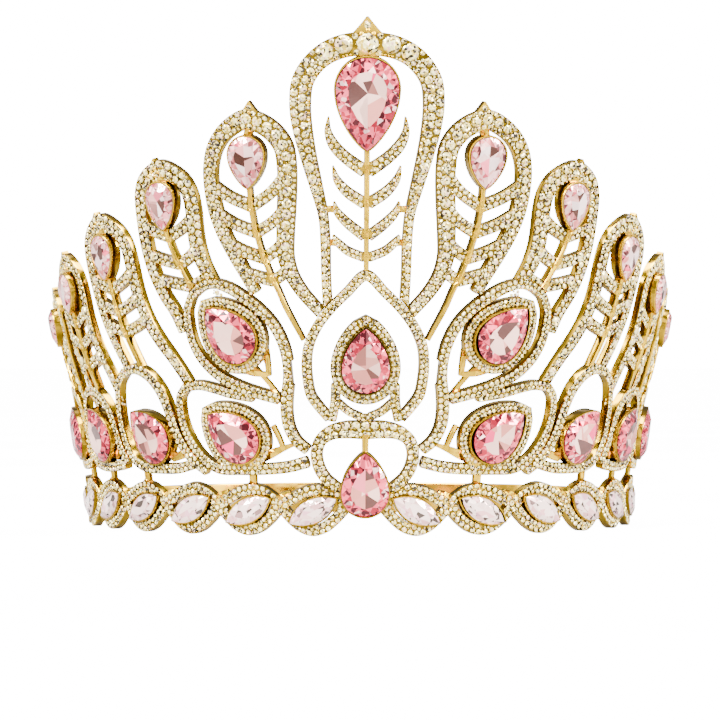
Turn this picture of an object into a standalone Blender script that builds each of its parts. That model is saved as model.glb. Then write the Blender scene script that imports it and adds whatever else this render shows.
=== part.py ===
# Crystal crown, front half of castings in peacock-feather form on a plain back band.
# Layout is unrolled: azimuth in degrees from the front, height in mm, w in mm out of the inner face.
import math
import bpy
import numpy as np
from mathutils import Vector, geometry

# Driving sizes, mm
metalGap = 0.34
outlineTolerance = 0.18
chainTolerance = 0.33
curveStep = 0.8
mmPerDegree = 1.6
bandThickness = 2.0
stemThickness = 1.5
eyeThickness = 2.3
haloThickness = 2.7
bezelHeight = 3.3
bezelWall = 0.8
cupFloor = 0.6
seatClearance = 0.35
backBandHeight = 9.6
backBandThickness = 1.4
backBandStart = 99.2
backBandStations = 30
featherStem = 1.4
longestEdge = 9.0
mergeDistance = 0.03
girdle = 0.36
heartShift = 0.8
stoneSeat = 3.5
marquiseSeat = 2.9
pearPoints = 12
topPearPoints = 14
marquisePoints = 8
thinWall = 0.7
centreHalo = 3.2
eyeHalo = 2.9
# The right side stands out by this much, from an azimuth on, over a rise and back to none over a fall
rightBulge = 2.0
bulgeStart = 15.0
bulgeRise = 22.0
bulgeFall = 80.0
# Middle of the bounds from the head's axis
middle = (1.0, -12.625)

# Cut of each kind of stone: crown, pavilion, table as a share of the width
cuts = dict(
    centre=(1.6, 2.2, 0.62),
    feather=(1.2, 2.0, 0.60),
    eye=(1.5, 2.2, 0.62),
    marquise=(1.0, 1.6, 0.55),
)
# Ogee point, from its root: share of the height left, share of the width
spearRows = [
    (1.0, 1.0),
    (0.62, 0.56),
    (0.3, 0.22),
    (0.0, 0.0),
]

# Outer face of the band castings: height, radius
profileRows = [
    (0.0, 79.4),
    (8.0, 79.5),
    (17.0, 81.0),
    (36.4, 83.8),
    (51.0, 87.2),
    (81.0, 93.0),
    (142.0, 104.5),
]

# Centre feather, one side, foot to arch: azimuth, height, width
centreBand = [
    (6.7, 62.5, 2.7),
    (6.9, 72.0, 2.7),
    (6.9, 80.0, 2.8),
    (7.2, 88.0, 2.8),
    (8.3, 96.0, 3.6),
    (9.5, 104.5, 4.6),
    (10.3, 112.0, 5.5),
    (10.5, 118.0, 5.9),
    (9.9, 124.2, 6.0),
    (7.4, 129.8, 6.1),
    (4.3, 132.7, 6.2),
]
# Barbs of the centre feather: rows of one barb, azimuth, height, width
centreBarbs = [
    [(0.4, 99.9, 3.6), (3.3, 103.3, 3.3), (5.3, 106.8, 3.0), (6.2, 110.5, 1.9), (6.1, 114.3, 0.4)],
    [(0.4, 91.2, 3.2), (3.3, 94.4, 2.9), (4.9, 97.7, 2.0), (5.5, 101.2, 0.4)],
    [(0.4, 82.4, 3.0), (3.2, 85.9, 2.7), (4.9, 89.0, 2.0), (5.4, 91.6, 0.5)],
    [(0.4, 76.6, 2.5), (3.3, 78.5, 2.4), (5.1, 81.2, 1.8), (5.6, 82.6, 0.5)],
]
# Gold links from a barb to the side band: height, inner azimuth, outer azimuth, width
centreLinks = [
    (89.6, 4.9, 7.2, 1.7),
    (80.6, 4.8, 7.0, 1.8),
]

# Side feathers: section height, stem azimuth or None, outer azimuth, width, inner azimuth, width
feathers = [
    dict(name="1", tip=(18.7, 119.2), pear=(19.4, 102.6, 14.0, 10.0), stemEnd=(11.2, 54.4), rows=[
        (113.2, None, 20.9, 5.3, 17.5, 5.5),
        (110.4, None, 23.3, 4.9, 15.0, 5.6),
        (106.4, None, 25.1, 4.6, 13.4, 5.6),
        (101.0, None, 26.1, 4.3, 13.0, 5.5),
        (95.0, 19.4, 26.2, 4.3, 13.1, 5.4),
        (89.0, 19.2, 25.7, 4.3, 13.4, 5.3),
        (83.0, 18.6, 24.5, 4.2, 13.7, 5.0),
        (77.0, 17.6, 22.7, 4.0, 13.8, 4.7),
        (72.0, 16.5, 21.0, 3.7, 12.9, 4.0),
        (67.5, 15.2, 19.6, 3.4, 11.2, 3.6),
        (63.5, 14.2, None, 0, 9.0, 3.4),
        (61.2, None, None, 0, 7.6, 3.4),
    ], barbs=[(91.0, 6.0, 8.6), (83.9, 5.4, 6.6), (76.9, 3.9, 4.8), (70.8, 2.0, 3.2)]),
    dict(name="2", tip=(36.8, 104.7), pear=(35.8, 91.4, 13.0, 9.2), stemEnd=(30.4, 65.6), rows=[
        (100.6, None, 37.4, 4.8, 34.1, 5.0),
        (98.0, None, 39.4, 4.6, 31.7, 4.8),
        (94.5, None, 40.5, 4.2, 30.5, 4.7),
        (90.0, None, 40.8, 4.1, 30.1, 4.7),
        (85.0, 35.8, 40.8, 4.1, 30.1, 4.7),
        (80.0, 35.1, 40.6, 4.1, 29.9, 4.7),
        (75.0, 33.7, 40.0, 4.0, 29.0, 4.3),
        (71.0, 32.4, 39.2, 3.8, 27.7, 3.8),
        (66.5, 30.8, 37.8, 3.7, 26.0, 3.6),
        (62.0, None, 35.9, 3.6, None, 0),
        (57.0, None, 34.6, 3.4, None, 0),
    ], barbs=[(83.2, 3.0, 5.4), (75.6, 2.6, 4.4), (69.4, 2.0, 3.0)]),
    dict(name="3", tip=(52.9, 90.7), pear=(51.5, 77.8, 12.4, 8.8), stemEnd=(45.9, 46.5), rows=[
        (86.9, None, 53.1, 4.4, 49.8, 4.6),
        (84.3, None, 55.2, 4.1, 47.2, 4.4),
        (81.0, None, 56.5, 3.9, 45.8, 4.3),
        (76.5, None, 56.8, 3.8, 45.2, 4.3),
        (71.0, 51.3, 56.4, 3.8, 44.8, 4.3),
        (65.0, 50.6, 55.6, 3.7, 44.0, 4.1),
        (59.0, 49.6, 54.3, 3.6, 42.4, 3.9),
        (54.0, 48.3, 52.8, 3.4, 40.3, 3.7),
        (49.5, 46.9, 51.2, 3.2, 38.0, 3.4),
        (45.0, None, 49.6, 3.0, 36.0, 3.2),
        (42.4, None, None, 0, 35.0, 3.2),
    ], barbs=[(69.0, 3.0, 5.0), (62.8, 2.6, 4.2), (57.0, 2.4, 3.6)]),
    dict(name="4", tip=(67.9, 80.4), pear=(66.9, 68.2, 11.2, 8.2), stemEnd=(62.6, 40.5), rows=[
        (76.6, None, 68.3, 4.0, 65.3, 4.0),
        (74.4, None, 70.2, 3.7, 63.3, 3.7),
        (71.0, None, 71.6, 3.5, 62.0, 3.6),
        (66.5, None, 72.0, 3.4, 61.5, 3.6),
        (61.0, 66.8, 71.7, 3.3, 61.2, 3.6),
        (55.5, 66.1, 70.8, 3.3, 60.2, 3.5),
        (50.0, 64.9, 69.3, 3.2, 58.5, 3.3),
        (45.0, 63.8, 67.6, 3.1, 56.6, 3.2),
        (40.0, None, 65.8, 2.9, 55.0, 3.0),
        (36.0, None, 64.2, 2.9, 54.2, 2.9),
    ], barbs=[(59.5, 2.8, 4.2), (53.4, 2.4, 3.6), (47.6, 2.0, 3.0)]),
    dict(name="5", tip=(82.0, 70.6), pear=(82.0, 58.6, 10.4, 7.8), stemEnd=(77.8, 40.0), rows=[
        (66.9, None, 83.4, 3.7, 80.5, 3.7),
        (64.8, None, 85.2, 3.5, 78.7, 3.5),
        (61.5, None, 86.6, 3.2, 77.3, 3.3),
        (57.5, None, 86.9, 3.2, 76.9, 3.3),
        (52.5, 81.9, 86.6, 3.1, 76.6, 3.3),
        (47.5, 81.0, 85.6, 3.0, 75.6, 3.2),
        (43.0, 79.4, 84.4, 2.9, 74.2, 3.1),
        (38.5, None, 83.0, 2.8, 72.6, 2.9),
    ], barbs=[(51.8, 2.6, 3.6), (46.6, 2.2, 3.0)]),
]

# Centre mandorla loop, one side, apex to foot: azimuth, height, width
mandorlaLoop = [
    (0.0, 71.8, 2.9),
    (3.3, 67.2, 2.8),
    (6.3, 62.6, 2.8),
    (8.7, 57.8, 2.8),
    (10.3, 52.6, 2.8),
    (10.8, 47.8, 2.8),
    (10.7, 43.2, 2.8),
    (10.2, 39.2, 2.8),
    (8.7, 36.0, 2.8),
    (6.9, 33.0, 2.8),
]
# Ring round the heart openings, centre line to foot: azimuth, height, width
heartRing = [
    (0.0, 29.6, 5.0),
    (3.5, 29.7, 4.7),
    (6.5, 28.9, 4.0),
    (8.6, 26.7, 3.5),
    (9.4, 23.2, 3.3),
    (9.0, 19.5, 3.3),
    (7.7, 16.3, 3.2),
    (5.4, 13.6, 3.0),
]

# Pear stones of the eyes: azimuth, height, length, width, lean outward
eyePears = dict(
    upper=(24.9, 56.4, 18.0, 13.0, 41.0),
    lower=(26.0, 28.3, 17.6, 12.8, 50.0),
    second=(46.0, 28.0, 17.6, 12.8, 44.0),
    third=(63.9, 28.0, 17.0, 12.2, 36.0),
    fourth=(79.6, 28.0, 16.4, 11.6, 30.0),
)
# Bands of the eye castings: azimuth, height, width
eyeBands = dict(
    firstInner=[
        (31.9, 66.6, 2.5), (29.9, 68.8, 2.7), (27.3, 69.8, 2.8), (24.5, 68.6, 3.1), (21.9, 66.2, 3.2),
        (19.1, 62.9, 3.1), (16.6, 58.6, 3.1), (15.0, 53.6, 3.1), (14.3, 48.8, 3.1), (14.2, 44.0, 3.3),
        (14.7, 39.6, 3.4), (15.0, 35.0, 3.4), (14.6, 30.4, 3.3), (13.2, 26.6, 3.2), (11.2, 24.2, 3.0),
    ],
    firstOuter=[
        (31.9, 66.6, 2.5), (33.1, 62.6, 2.5), (33.2, 58.4, 2.6), (32.7, 53.8, 2.7), (31.2, 49.2, 2.8),
        (28.4, 45.0, 3.0), (24.8, 42.0, 3.1), (20.6, 39.8, 3.2), (16.4, 38.2, 3.2),
    ],
    lowerTop=[(35.6, 41.4, 2.6), (32.4, 41.8, 2.6), (29.0, 40.8, 2.7), (25.4, 39.4, 2.8), (21.6, 38.6, 2.8)],
    lowerOuter=[
        (35.6, 41.4, 2.6), (37.3, 38.6, 2.5), (37.6, 34.4, 2.5), (36.9, 29.6, 2.6), (35.3, 25.2, 2.7),
        (32.8, 21.2, 2.8), (29.6, 18.7, 2.9), (25.0, 18.5, 3.0), (20.0, 18.7, 3.1), (15.0, 19.4, 3.2),
        (11.2, 20.8, 3.3),
    ],
    secondInner=[
        (51.4, 45.6, 2.6), (48.0, 46.4, 3.0), (44.8, 44.6, 3.3), (42.4, 40.8, 3.4), (40.8, 35.4, 3.3),
        (39.6, 29.8, 3.3), (37.8, 24.8, 3.1), (35.4, 20.8, 3.0), (32.6, 18.0, 2.9),
    ],
    secondOuter=[
        (51.4, 45.6, 2.6), (53.9, 42.4, 2.5), (55.2, 37.6, 2.5), (55.4, 31.6, 2.5), (54.5, 25.8, 2.6),
        (52.4, 21.2, 2.8), (49.0, 18.8, 2.9), (44.4, 18.4, 3.0), (39.4, 18.6, 3.0), (35.8, 19.8, 2.9),
    ],
    thirdInner=[
        (68.4, 39.9, 2.6), (65.0, 40.0, 2.9), (61.6, 37.9, 3.1), (59.2, 33.8, 3.1), (57.9, 28.8, 3.1),
        (56.6, 24.0, 3.0), (54.6, 20.0, 2.9),
    ],
    thirdOuter=[
        (68.4, 39.9, 2.6), (70.9, 37.2, 2.5), (72.2, 32.8, 2.5), (72.2, 27.6, 2.5), (71.0, 22.8, 2.6),
        (68.6, 19.6, 2.8), (64.4, 18.4, 3.0), (59.6, 18.5, 3.0), (55.6, 19.4, 2.9),
    ],
    fourthInner=[
        (84.0, 39.6, 2.6), (80.8, 39.8, 2.8), (77.6, 37.8, 2.9), (75.4, 33.8, 3.0), (74.4, 28.8, 3.0),
        (73.4, 24.0, 2.9), (71.6, 20.0, 2.8),
    ],
    fourthOuter=[
        (84.0, 39.6, 2.6), (86.5, 37.0, 2.5), (87.9, 32.6, 2.6), (88.0, 27.4, 2.6), (87.0, 22.6, 2.7),
        (84.6, 19.4, 2.8), (80.6, 18.4, 2.9), (76.2, 18.5, 2.9), (72.6, 19.3, 2.8),
    ],
)
# Plain gold stems and leaves of the eyes: azimuth, height, width
eyeGold = dict(
    first=[
        [(22.4, 49.2, 1.5), (19.6, 44.6, 1.3), (16.4, 38.8, 1.2)],
        [(18.4, 53.6, 1.2), (18.3, 49.0, 1.7), (18.2, 44.4, 1.4)],
        [(24.0, 46.4, 1.8), (21.2, 45.0, 1.7), (18.4, 44.6, 1.3)],
        [(22.4, 20.6, 2.8), (19.0, 22.6, 2.6), (16.4, 24.2, 1.8), (14.0, 25.4, 1.0)],
        [(18.0, 30.6, 1.5), (16.9, 27.4, 1.5), (16.0, 24.0, 1.3)],
    ],
    second=[
        [(41.4, 21.4, 2.6), (38.2, 22.6, 2.2), (36.4, 23.8, 1.2)],
        [(47.6, 36.0, 2.6), (49.6, 40.0, 2.4), (50.8, 44.0, 2.2)],
    ],
    third=[
        [(59.8, 21.2, 2.4), (57.8, 22.8, 1.4)],
        [(66.0, 35.0, 2.4), (67.6, 38.8, 2.2)],
    ],
    fourth=[
        [(76.2, 21.2, 2.2), (74.6, 22.6, 1.2)],
        [(81.8, 34.6, 2.4), (83.2, 38.4, 2.2)],
    ],
)

# Garland: first marquise azimuth, pitch, count a side, crossing height, drop below it, rise above it
garland = dict(first=10.3, pitch=13.4, count=7, crossing=8.5, drop=6.6, rise=4.6, strand=3.2)
marquise = dict(height=7.3, length=14.6, width=6.6, lean=63.0)

# Pears of the centre line: height, length, width, point up or down
centrePears = dict(
    top=(117.8, 25.0, 17.0, False),
    middle=(48.9, 18.0, 13.0, True),
    drop=(14.7, 18.0, 13.0, True),
)

goldColour = (0.83, 0.60, 0.20, 1.0)
roseColour = (0.90, 0.50, 0.58, 1.0)
paleColour = (0.96, 0.86, 0.86, 1.0)


def spline(knots, xs):
    # Cubic through the knots with limited slopes, value and slope at each x
    kx = np.array([k[0] for k in knots], float)
    ky = np.array([k[1] for k in knots], float)
    d = np.diff(ky) / np.diff(kx)
    m = np.empty_like(ky)
    m[0] = d[0]
    m[-1] = d[-1]
    m[1:-1] = (d[:-1] + d[1:]) / 2
    x = np.clip(np.asarray(xs, float), kx[0], kx[-1])
    i = np.clip(np.searchsorted(kx, x) - 1, 0, len(kx) - 2)
    h = kx[i + 1] - kx[i]
    t = (x - kx[i]) / h
    a = (1 + 2 * t) * (1 - t) ** 2
    b = t * (1 - t) ** 2
    c = t * t * (3 - 2 * t)
    e = t * t * (t - 1)
    value = a * ky[i] + b * h * m[i] + c * ky[i + 1] + e * h * m[i + 1]
    da = 6 * t * t - 6 * t
    slope = (da * ky[i] - da * ky[i + 1]) / h + (1 - 4 * t + 3 * t * t) * m[i] + (3 * t * t - 2 * t) * m[i + 1]
    return value, slope


def place(az, z, w):
    # Unrolled coordinates to metres; w runs along the normal of the flaring face
    r, slope = spline(profileRows, z)
    n = np.sqrt(1 + slope * slope)
    radius = r + (w - bandThickness) / n
    height = z - (w - bandThickness) * slope / n
    a = np.radians(az)
    return np.stack([radius * np.sin(a) + bulge(az) - middle[0], -radius * np.cos(a) - middle[1], height],
                    axis=-1) / 1000


def bulge(az):
    # Outward set of the right side, none at the front and the back
    rise = np.clip((az - bulgeStart) / bulgeRise, 0, 1)
    fall = np.clip((180 - az) / bulgeFall, 0, 1)
    return rightBulge * rise * rise * (3 - 2 * rise) * fall * fall * (3 - 2 * fall)


def degMm(z):
    return spline(profileRows, z)[0] * math.pi / 180


def smooth(rows, step):
    # Centripetal curve through rows of azimuth, height and width, resampled evenly
    p = np.array(rows, float)
    p[:, 0] *= mmPerDegree
    n = len(p)
    if n == 2:
        ts = np.linspace(0, 1, max(2, int(np.hypot(*(p[1, :2] - p[0, :2])) / step) + 1))
        q = p[0] + (p[1] - p[0]) * ts[:, None]
    else:
        ext = np.vstack([2 * p[0] - p[1], p, 2 * p[-1] - p[-2]])
        parts = []
        for i in range(1, len(ext) - 2):
            p0, p1, p2, p3 = ext[i - 1], ext[i], ext[i + 1], ext[i + 2]
            t0 = 0.0
            t1 = t0 + max(1e-6, np.hypot(*(p1 - p0)[:2])) ** 0.5
            t2 = t1 + max(1e-6, np.hypot(*(p2 - p1)[:2])) ** 0.5
            t3 = t2 + max(1e-6, np.hypot(*(p3 - p2)[:2])) ** 0.5
            k = max(2, int(np.hypot(*(p2 - p1)[:2]) / step) + 1)
            t = np.linspace(t1, t2, k, endpoint=False)[:, None]
            a1 = (t1 - t) / (t1 - t0) * p0 + (t - t0) / (t1 - t0) * p1
            a2 = (t2 - t) / (t2 - t1) * p1 + (t - t1) / (t2 - t1) * p2
            a3 = (t3 - t) / (t3 - t2) * p2 + (t - t2) / (t3 - t2) * p3
            b1 = (t2 - t) / (t2 - t0) * a1 + (t - t0) / (t2 - t0) * a2
            b2 = (t3 - t) / (t3 - t1) * a2 + (t - t1) / (t3 - t1) * a3
            parts.append((t2 - t) / (t2 - t1) * b1 + (t - t1) / (t2 - t1) * b2)
        q = np.vstack(parts + [p[-1:]])
    q[:, 0] /= mmPerDegree
    q[:, 2] = np.maximum(q[:, 2], 0.2)
    return q


def thin(points, tolerance):
    # Drop points of a closed outline that lie within the tolerance of the chord
    p = np.array(points, float)
    far = int(np.argmax(np.hypot(*(p - p[0]).T)))
    keep = {0, far}
    stack = [(0, far), (far, len(p))]
    while stack:
        a, b = stack.pop()
        if b - a < 2:
            continue
        pa = p[a]
        pb = p[b % len(p)]
        seg = pb - pa
        mid = p[a + 1:b]
        length = max(1e-9, np.hypot(*seg))
        d = np.abs((mid[:, 0] - pa[0]) * seg[1] - (mid[:, 1] - pa[1]) * seg[0]) / length
        k = int(np.argmax(d))
        if d[k] > tolerance or length > longestEdge:
            if d[k] <= tolerance:
                k = len(mid) // 2
            keep.add(a + 1 + k)
            stack.append((a, a + 1 + k))
            stack.append((a + 1 + k, b))
    return p[sorted(keep)]


def offset(curve, side):
    # Points half a width to one side of a curve, in azimuth and height
    m = degMm(curve[:, 1])
    x = curve[:, 0] * m.mean()
    z = curve[:, 1]
    tx = np.gradient(x)
    tz = np.gradient(z)
    n = np.hypot(tx, tz)
    h = side * curve[:, 2] / 2
    return np.stack([curve[:, 0] - tz / n * h / m, z + tx / n * h], axis=1)


def tear(length, width, grow, count):
    # Pear outline, point up, centred on its length, in mm
    r = width / 2
    out = []
    low = -length / 2 + r
    for i in range(count):
        a = 2 * math.pi * i / count
        c = math.cos(a)
        s = math.sin(a)
        y = low + r * c
        x = r * s
        if c > 0:
            t = 1 - abs(i if i <= count / 2 else count - i) / (count / 4)
            y = low + (length - r) * t ** 1.02
            x = math.copysign(r * (1 - t ** 2.0) ** 0.86, s) if t < 1 else 0.0
        out.append((x, y))
    p = np.array(out)
    if grow:
        q = np.vstack([p[-1:], p, p[:1]])
        tx = q[2:, 0] - q[:-2, 0]
        ty = q[2:, 1] - q[:-2, 1]
        n = np.hypot(tx, ty)
        p = p + np.stack([-ty / n, tx / n], axis=1) * grow
    return p


def navette(length, width, grow, count):
    # Pointed oval outline, long way up, in mm
    half = length / 2
    r = (half * half + (width / 2) ** 2) / width
    reach = math.asin(half / r)
    n = count // 2
    side = [(r * math.cos(reach * (1 - 2 * i / n)) - (r - width / 2), half * math.sin(reach * (1 - 2 * i / n)) /
             math.sin(reach)) for i in range(n)]
    p = np.array(side + [(-x, -y) for x, y in side])
    if grow:
        p = p * np.array([1 + grow / (width / 2), 1 + grow * 1.25 / half])
    return p


def turned(outline, az, z, lean):
    # Outline in mm set at an azimuth and height, leaning outward
    c = math.cos(math.radians(lean))
    s = math.sin(math.radians(lean))
    m = degMm(z)
    x = outline[:, 0] * c + outline[:, 1] * s
    y = outline[:, 1] * c - outline[:, 0] * s
    return np.stack([az + x / m, z + y], axis=1)


def outlineOf(spec, grow=0.0):
    # Outline of one painted shape in the unrolled plane, widened by grow
    if spec["shape"] == "stone":
        cut = tear if spec["cut"] == "pear" else navette
        az, z, length, width, lean = spec["at"]
        loop = turned(cut(length, width, spec["grow"] + grow, spec["count"]), az, z, lean)
        return loop * np.array([mmPerDegree, 1.0])
    curve = smooth(spec["rows"], curveStep)
    curve[:, 2] += 2 * grow
    if grow:
        for end, near in ((0, 1), (-1, -2)):
            m = degMm(curve[end, 1])
            d = curve[end, :2] - curve[near, :2]
            d = d * np.array([m, 1.0])
            d = d / max(1e-9, np.hypot(*d)) * grow
            curve[end, 0] += d[0] / m
            curve[end, 1] += d[1]
    loop = np.vstack([offset(curve, 1), offset(curve, -1)[::-1]])
    return thin(loop * np.array([mmPerDegree, 1.0]), outlineTolerance)


def wound(points, loop):
    # Winding number of each point in an outline
    x = points[:, 0][:, None]
    y = points[:, 1][:, None]
    b = np.roll(loop, -1, axis=0)
    up = (loop[:, 1] <= y) & (b[:, 1] > y)
    down = (loop[:, 1] > y) & (b[:, 1] <= y)
    side = (b[:, 0] - loop[:, 0]) * (y - loop[:, 1]) - (x - loop[:, 0]) * (b[:, 1] - loop[:, 1])
    return (up & (side > 0)).sum(axis=1) - (down & (side < 0)).sum(axis=1)


def edgesOf(painted):
    # All outlines as points and closed chains of edges
    verts = []
    edges = []
    for loop, level in painted:
        start = len(verts)
        n = len(loop)
        verts.extend(loop)
        edges.extend((start + i, start + (i + 1) % n) for i in range(n))
    return verts, edges


def triangulate(verts, edges, painted):
    # Constrained triangles with the level of the last shape painted over each
    coords = [Vector((float(x), float(y))) for x, y in verts]
    result = geometry.delaunay_2d_cdt(coords, edges, [], 0, mergeDistance, False)
    points = np.array([(v[0], v[1]) for v in result[0]])
    tris = np.array([list(f) for f in result[2]])
    p = points[tris]
    area = ((p[:, 1, 0] - p[:, 0, 0]) * (p[:, 2, 1] - p[:, 0, 1]) -
            (p[:, 2, 0] - p[:, 0, 0]) * (p[:, 1, 1] - p[:, 0, 1])) / 2
    tris[area < 0] = tris[area < 0][:, ::-1]
    centres = p.mean(axis=1)
    level = np.zeros(len(tris))
    for loop, height in painted:
        level[wound(centres, loop) != 0] = height
    level[np.abs(area) < 1e-7] = 0
    return points, tris, level


def levelEdges(points, tris, level):
    # Only the lines where the level changes, thinned between their junctions
    sideOf = {}
    for t, tri in enumerate(tris):
        for i in range(3):
            sideOf[(tri[i], tri[(i + 1) % 3])] = t
    links = {}
    for (a, b), t in sideOf.items():
        o = sideOf.get((b, a))
        if level[t] > (level[o] if o is not None else 0):
            links.setdefault(a, []).append(b)
            links.setdefault(b, []).append(a)
    kept = {}
    verts = []
    edges = []

    def number(v):
        if v not in kept:
            kept[v] = len(verts)
            verts.append(points[v])
        return kept[v]

    used = set()
    starts = [v for v in links if len(links[v]) != 2] + list(links)
    for start in starts:
        for second in links[start]:
            if (start, second) in used:
                continue
            chain = [start, second]
            used.add((start, second))
            used.add((second, start))
            while len(links[chain[-1]]) == 2 and chain[-1] != start:
                a, b = links[chain[-1]]
                step = a if b == chain[-2] else b
                if (chain[-1], step) in used:
                    break
                used.add((chain[-1], step))
                used.add((step, chain[-1]))
                chain.append(step)
            if chain[-1] == chain[0]:
                loop = chain[:-1]
                slim = thin(points[loop], chainTolerance)
                picked = [v for v in loop if any((points[v] == q).all() for q in slim)]
                picked.append(picked[0])
            else:
                picked = slimChain(points, chain, chainTolerance)
            for a, b in zip(picked, picked[1:]):
                edges.append((number(a), number(b)))
    return verts, edges


def clearPinches(tris, level, area, sideOf):
    # Where two higher corners meet in one point, the smaller one is lowered
    around = {}
    for t in np.nonzero(level > 0)[0]:
        for v in tris[t]:
            around.setdefault(v, []).append(t)
    changed = 0
    for v, members in around.items():
        for height in sorted({float(level[t]) for t in members}):
            high = {t for t in members if level[t] >= height}
            groups = []
            left = set(high)
            while left:
                group = [left.pop()]
                for k in group:
                    tri = list(tris[k])
                    i = tri.index(v)
                    for edge in ((tri[(i + 1) % 3], v), (v, tri[(i + 2) % 3])):
                        o = sideOf.get(edge)
                        if o in left:
                            left.discard(o)
                            group.append(o)
                groups.append(group)
            if len(groups) > 1:
                small = min(groups, key=lambda g: area[g].sum())
                under = [float(level[t]) for t in members if level[t] < height]
                level[small] = max(under) if under else 0.0
                changed += 1
    return changed


def slimChain(points, chain, tolerance):
    # Open chain with the points within the tolerance of its chords dropped
    p = points[chain]
    keep = {0, len(p) - 1}
    stack = [(0, len(p) - 1)]
    while stack:
        a, b = stack.pop()
        if b - a < 2:
            continue
        seg = p[b] - p[a]
        length = max(1e-9, np.hypot(*seg))
        mid = p[a + 1:b]
        d = np.abs((mid[:, 0] - p[a][0]) * seg[1] - (mid[:, 1] - p[a][1]) * seg[0]) / length
        k = int(np.argmax(d))
        if d[k] > tolerance or length > longestEdge:
            if d[k] <= tolerance:
                k = len(mid) // 2
            keep.add(a + 1 + k)
            stack.append((a, a + 1 + k))
            stack.append((a + 1 + k, b))
    return [chain[k] for k in sorted(keep)]


def relief(specs, cutters):
    # Painted shapes in the unrolled plane to one closed stepped plate on the flaring face
    painted = [(outlineOf(s), s["level"]) for s in specs]
    allPoints = np.vstack([loop for loop, level in painted])
    low = allPoints.min(axis=0)
    high = allPoints.max(axis=0)
    for s in cutters:
        loop = outlineOf(s, metalGap)
        if (loop.max(axis=0) > low).all() and (loop.min(axis=0) < high).all():
            painted.append((loop, 0.0))
    points, tris, level = triangulate(*edgesOf(painted), painted)
    outline = levelEdges(points, tris, level)
    points, tris, level = triangulate(*outline, painted)
    p = points[tris]
    area = ((p[:, 1, 0] - p[:, 0, 0]) * (p[:, 2, 1] - p[:, 0, 1]) -
            (p[:, 2, 0] - p[:, 0, 0]) * (p[:, 1, 1] - p[:, 0, 1])) / 2
    sideOf = {}
    for t, tri in enumerate(tris):
        for i in range(3):
            sideOf[(tri[i], tri[(i + 1) % 3])] = t
    for attempt in range(20):
        if not clearPinches(tris, level, np.abs(area), sideOf):
            break
    # Keep the largest connected patch
    seen = np.zeros(len(tris), bool)
    best = []
    bestArea = 0
    for t in range(len(tris)):
        if seen[t] or level[t] <= 0:
            continue
        patch = [t]
        seen[t] = True
        for k in patch:
            tri = tris[k]
            for i in range(3):
                o = sideOf.get((tri[(i + 1) % 3], tri[i]))
                if o is not None and not seen[o] and level[o] > 0:
                    seen[o] = True
                    patch.append(o)
        size = np.abs(area[patch]).sum()
        if size > bestArea:
            bestArea = size
            best = patch
    keep = np.zeros(len(tris), bool)
    keep[best] = True
    level[~keep] = 0
    heights = {}
    for t in best:
        for v in tris[t]:
            heights.setdefault(v, {0.0}).add(float(level[t]))
    heights = {v: sorted(h, reverse=True) for v, h in heights.items()}
    index = {}
    flat = []

    def vertex(v, height):
        key = (v, height)
        if key not in index:
            index[key] = len(flat)
            x, y = points[v]
            flat.append((x / mmPerDegree, y, height))
        return index[key]

    faces = []
    for t in best:
        corner = list(tris[t])
        top = float(level[t])
        faces.append([vertex(c, top) for c in corner])
        faces.append([vertex(c, 0.0) for c in corner[::-1]])
        for i in range(3):
            a = tris[t][i]
            b = tris[t][(i + 1) % 3]
            o = sideOf.get((b, a))
            under = float(level[o]) if o is not None else 0.0
            if under >= top:
                continue
            sideA = [vertex(a, h) for h in heights[a] if under <= h <= top]
            sideB = [vertex(b, h) for h in heights[b] if under <= h <= top]
            i1 = 0
            j1 = 0
            while i1 < len(sideA) - 1 or j1 < len(sideB) - 1:
                nextA = flat[sideA[i1 + 1]][2] if i1 < len(sideA) - 1 else -1
                nextB = flat[sideB[j1 + 1]][2] if j1 < len(sideB) - 1 else -1
                if nextA >= nextB:
                    faces.append([sideB[j1], sideA[i1], sideA[i1 + 1]])
                    i1 += 1
                else:
                    faces.append([sideB[j1], sideA[i1], sideB[j1 + 1]])
                    j1 += 1
    flat = np.array(flat)
    return place(flat[:, 0], flat[:, 1], flat[:, 2]), faces


def gem(cut, at, seat, count, proportions):
    # Cut stone: table, crown facets, girdle and pavilion, girdle at height seat
    az, z, length, width, lean = at
    crown, pavilion, table = proportions
    shape = tear if cut == "pear" else navette
    outline = shape(length, width, 0, count)
    heart = np.array([0.0, (width - length) / 2 * heartShift if cut == "pear" else 0.0])
    rings = [
        (heart + (outline - heart) * table, crown),
        (outline, girdle / 2),
        (outline, -girdle / 2),
    ]
    c = math.cos(math.radians(lean))
    s = math.sin(math.radians(lean))
    base = place(np.array([az]), np.array([z]), np.array([seat]))[0]
    across = place(np.array([az + 0.01]), np.array([z]), np.array([seat]))[0] - base
    upward = place(np.array([az]), np.array([z + 0.01]), np.array([seat]))[0] - base
    across = across / np.linalg.norm(across)
    upward = upward - across * upward.dot(across)
    upward = upward / np.linalg.norm(upward)
    normal = np.cross(across, upward)

    def world(x, y, h):
        return base + (across * (x * c + y * s) + upward * (y * c - x * s) + normal * h) / 1000

    verts = []
    faces = []
    for ring, height in rings:
        verts.extend(world(x, y, height) for x, y in ring)
    verts.append(world(heart[0], heart[1], -pavilion))
    n = count
    faces.append(list(range(n))[::-1])
    for k in range(2):
        for i in range(n):
            j = (i + 1) % n
            faces.append([k * n + i, k * n + j, (k + 1) * n + j, (k + 1) * n + i])
    for i in range(n):
        faces.append([2 * n + i, 2 * n + (i + 1) % n, 3 * n])
    return verts, faces


def mirrored(spec, side):
    # The same shape on the left for side -1
    out = dict(spec)
    if spec["shape"] == "ribbon":
        out["rows"] = [(side * r[0], r[1], r[2]) for r in spec["rows"]]
    else:
        az, z, length, width, lean = spec["at"]
        out["at"] = (side * az, z, length, width, side * lean)
    return out


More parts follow.
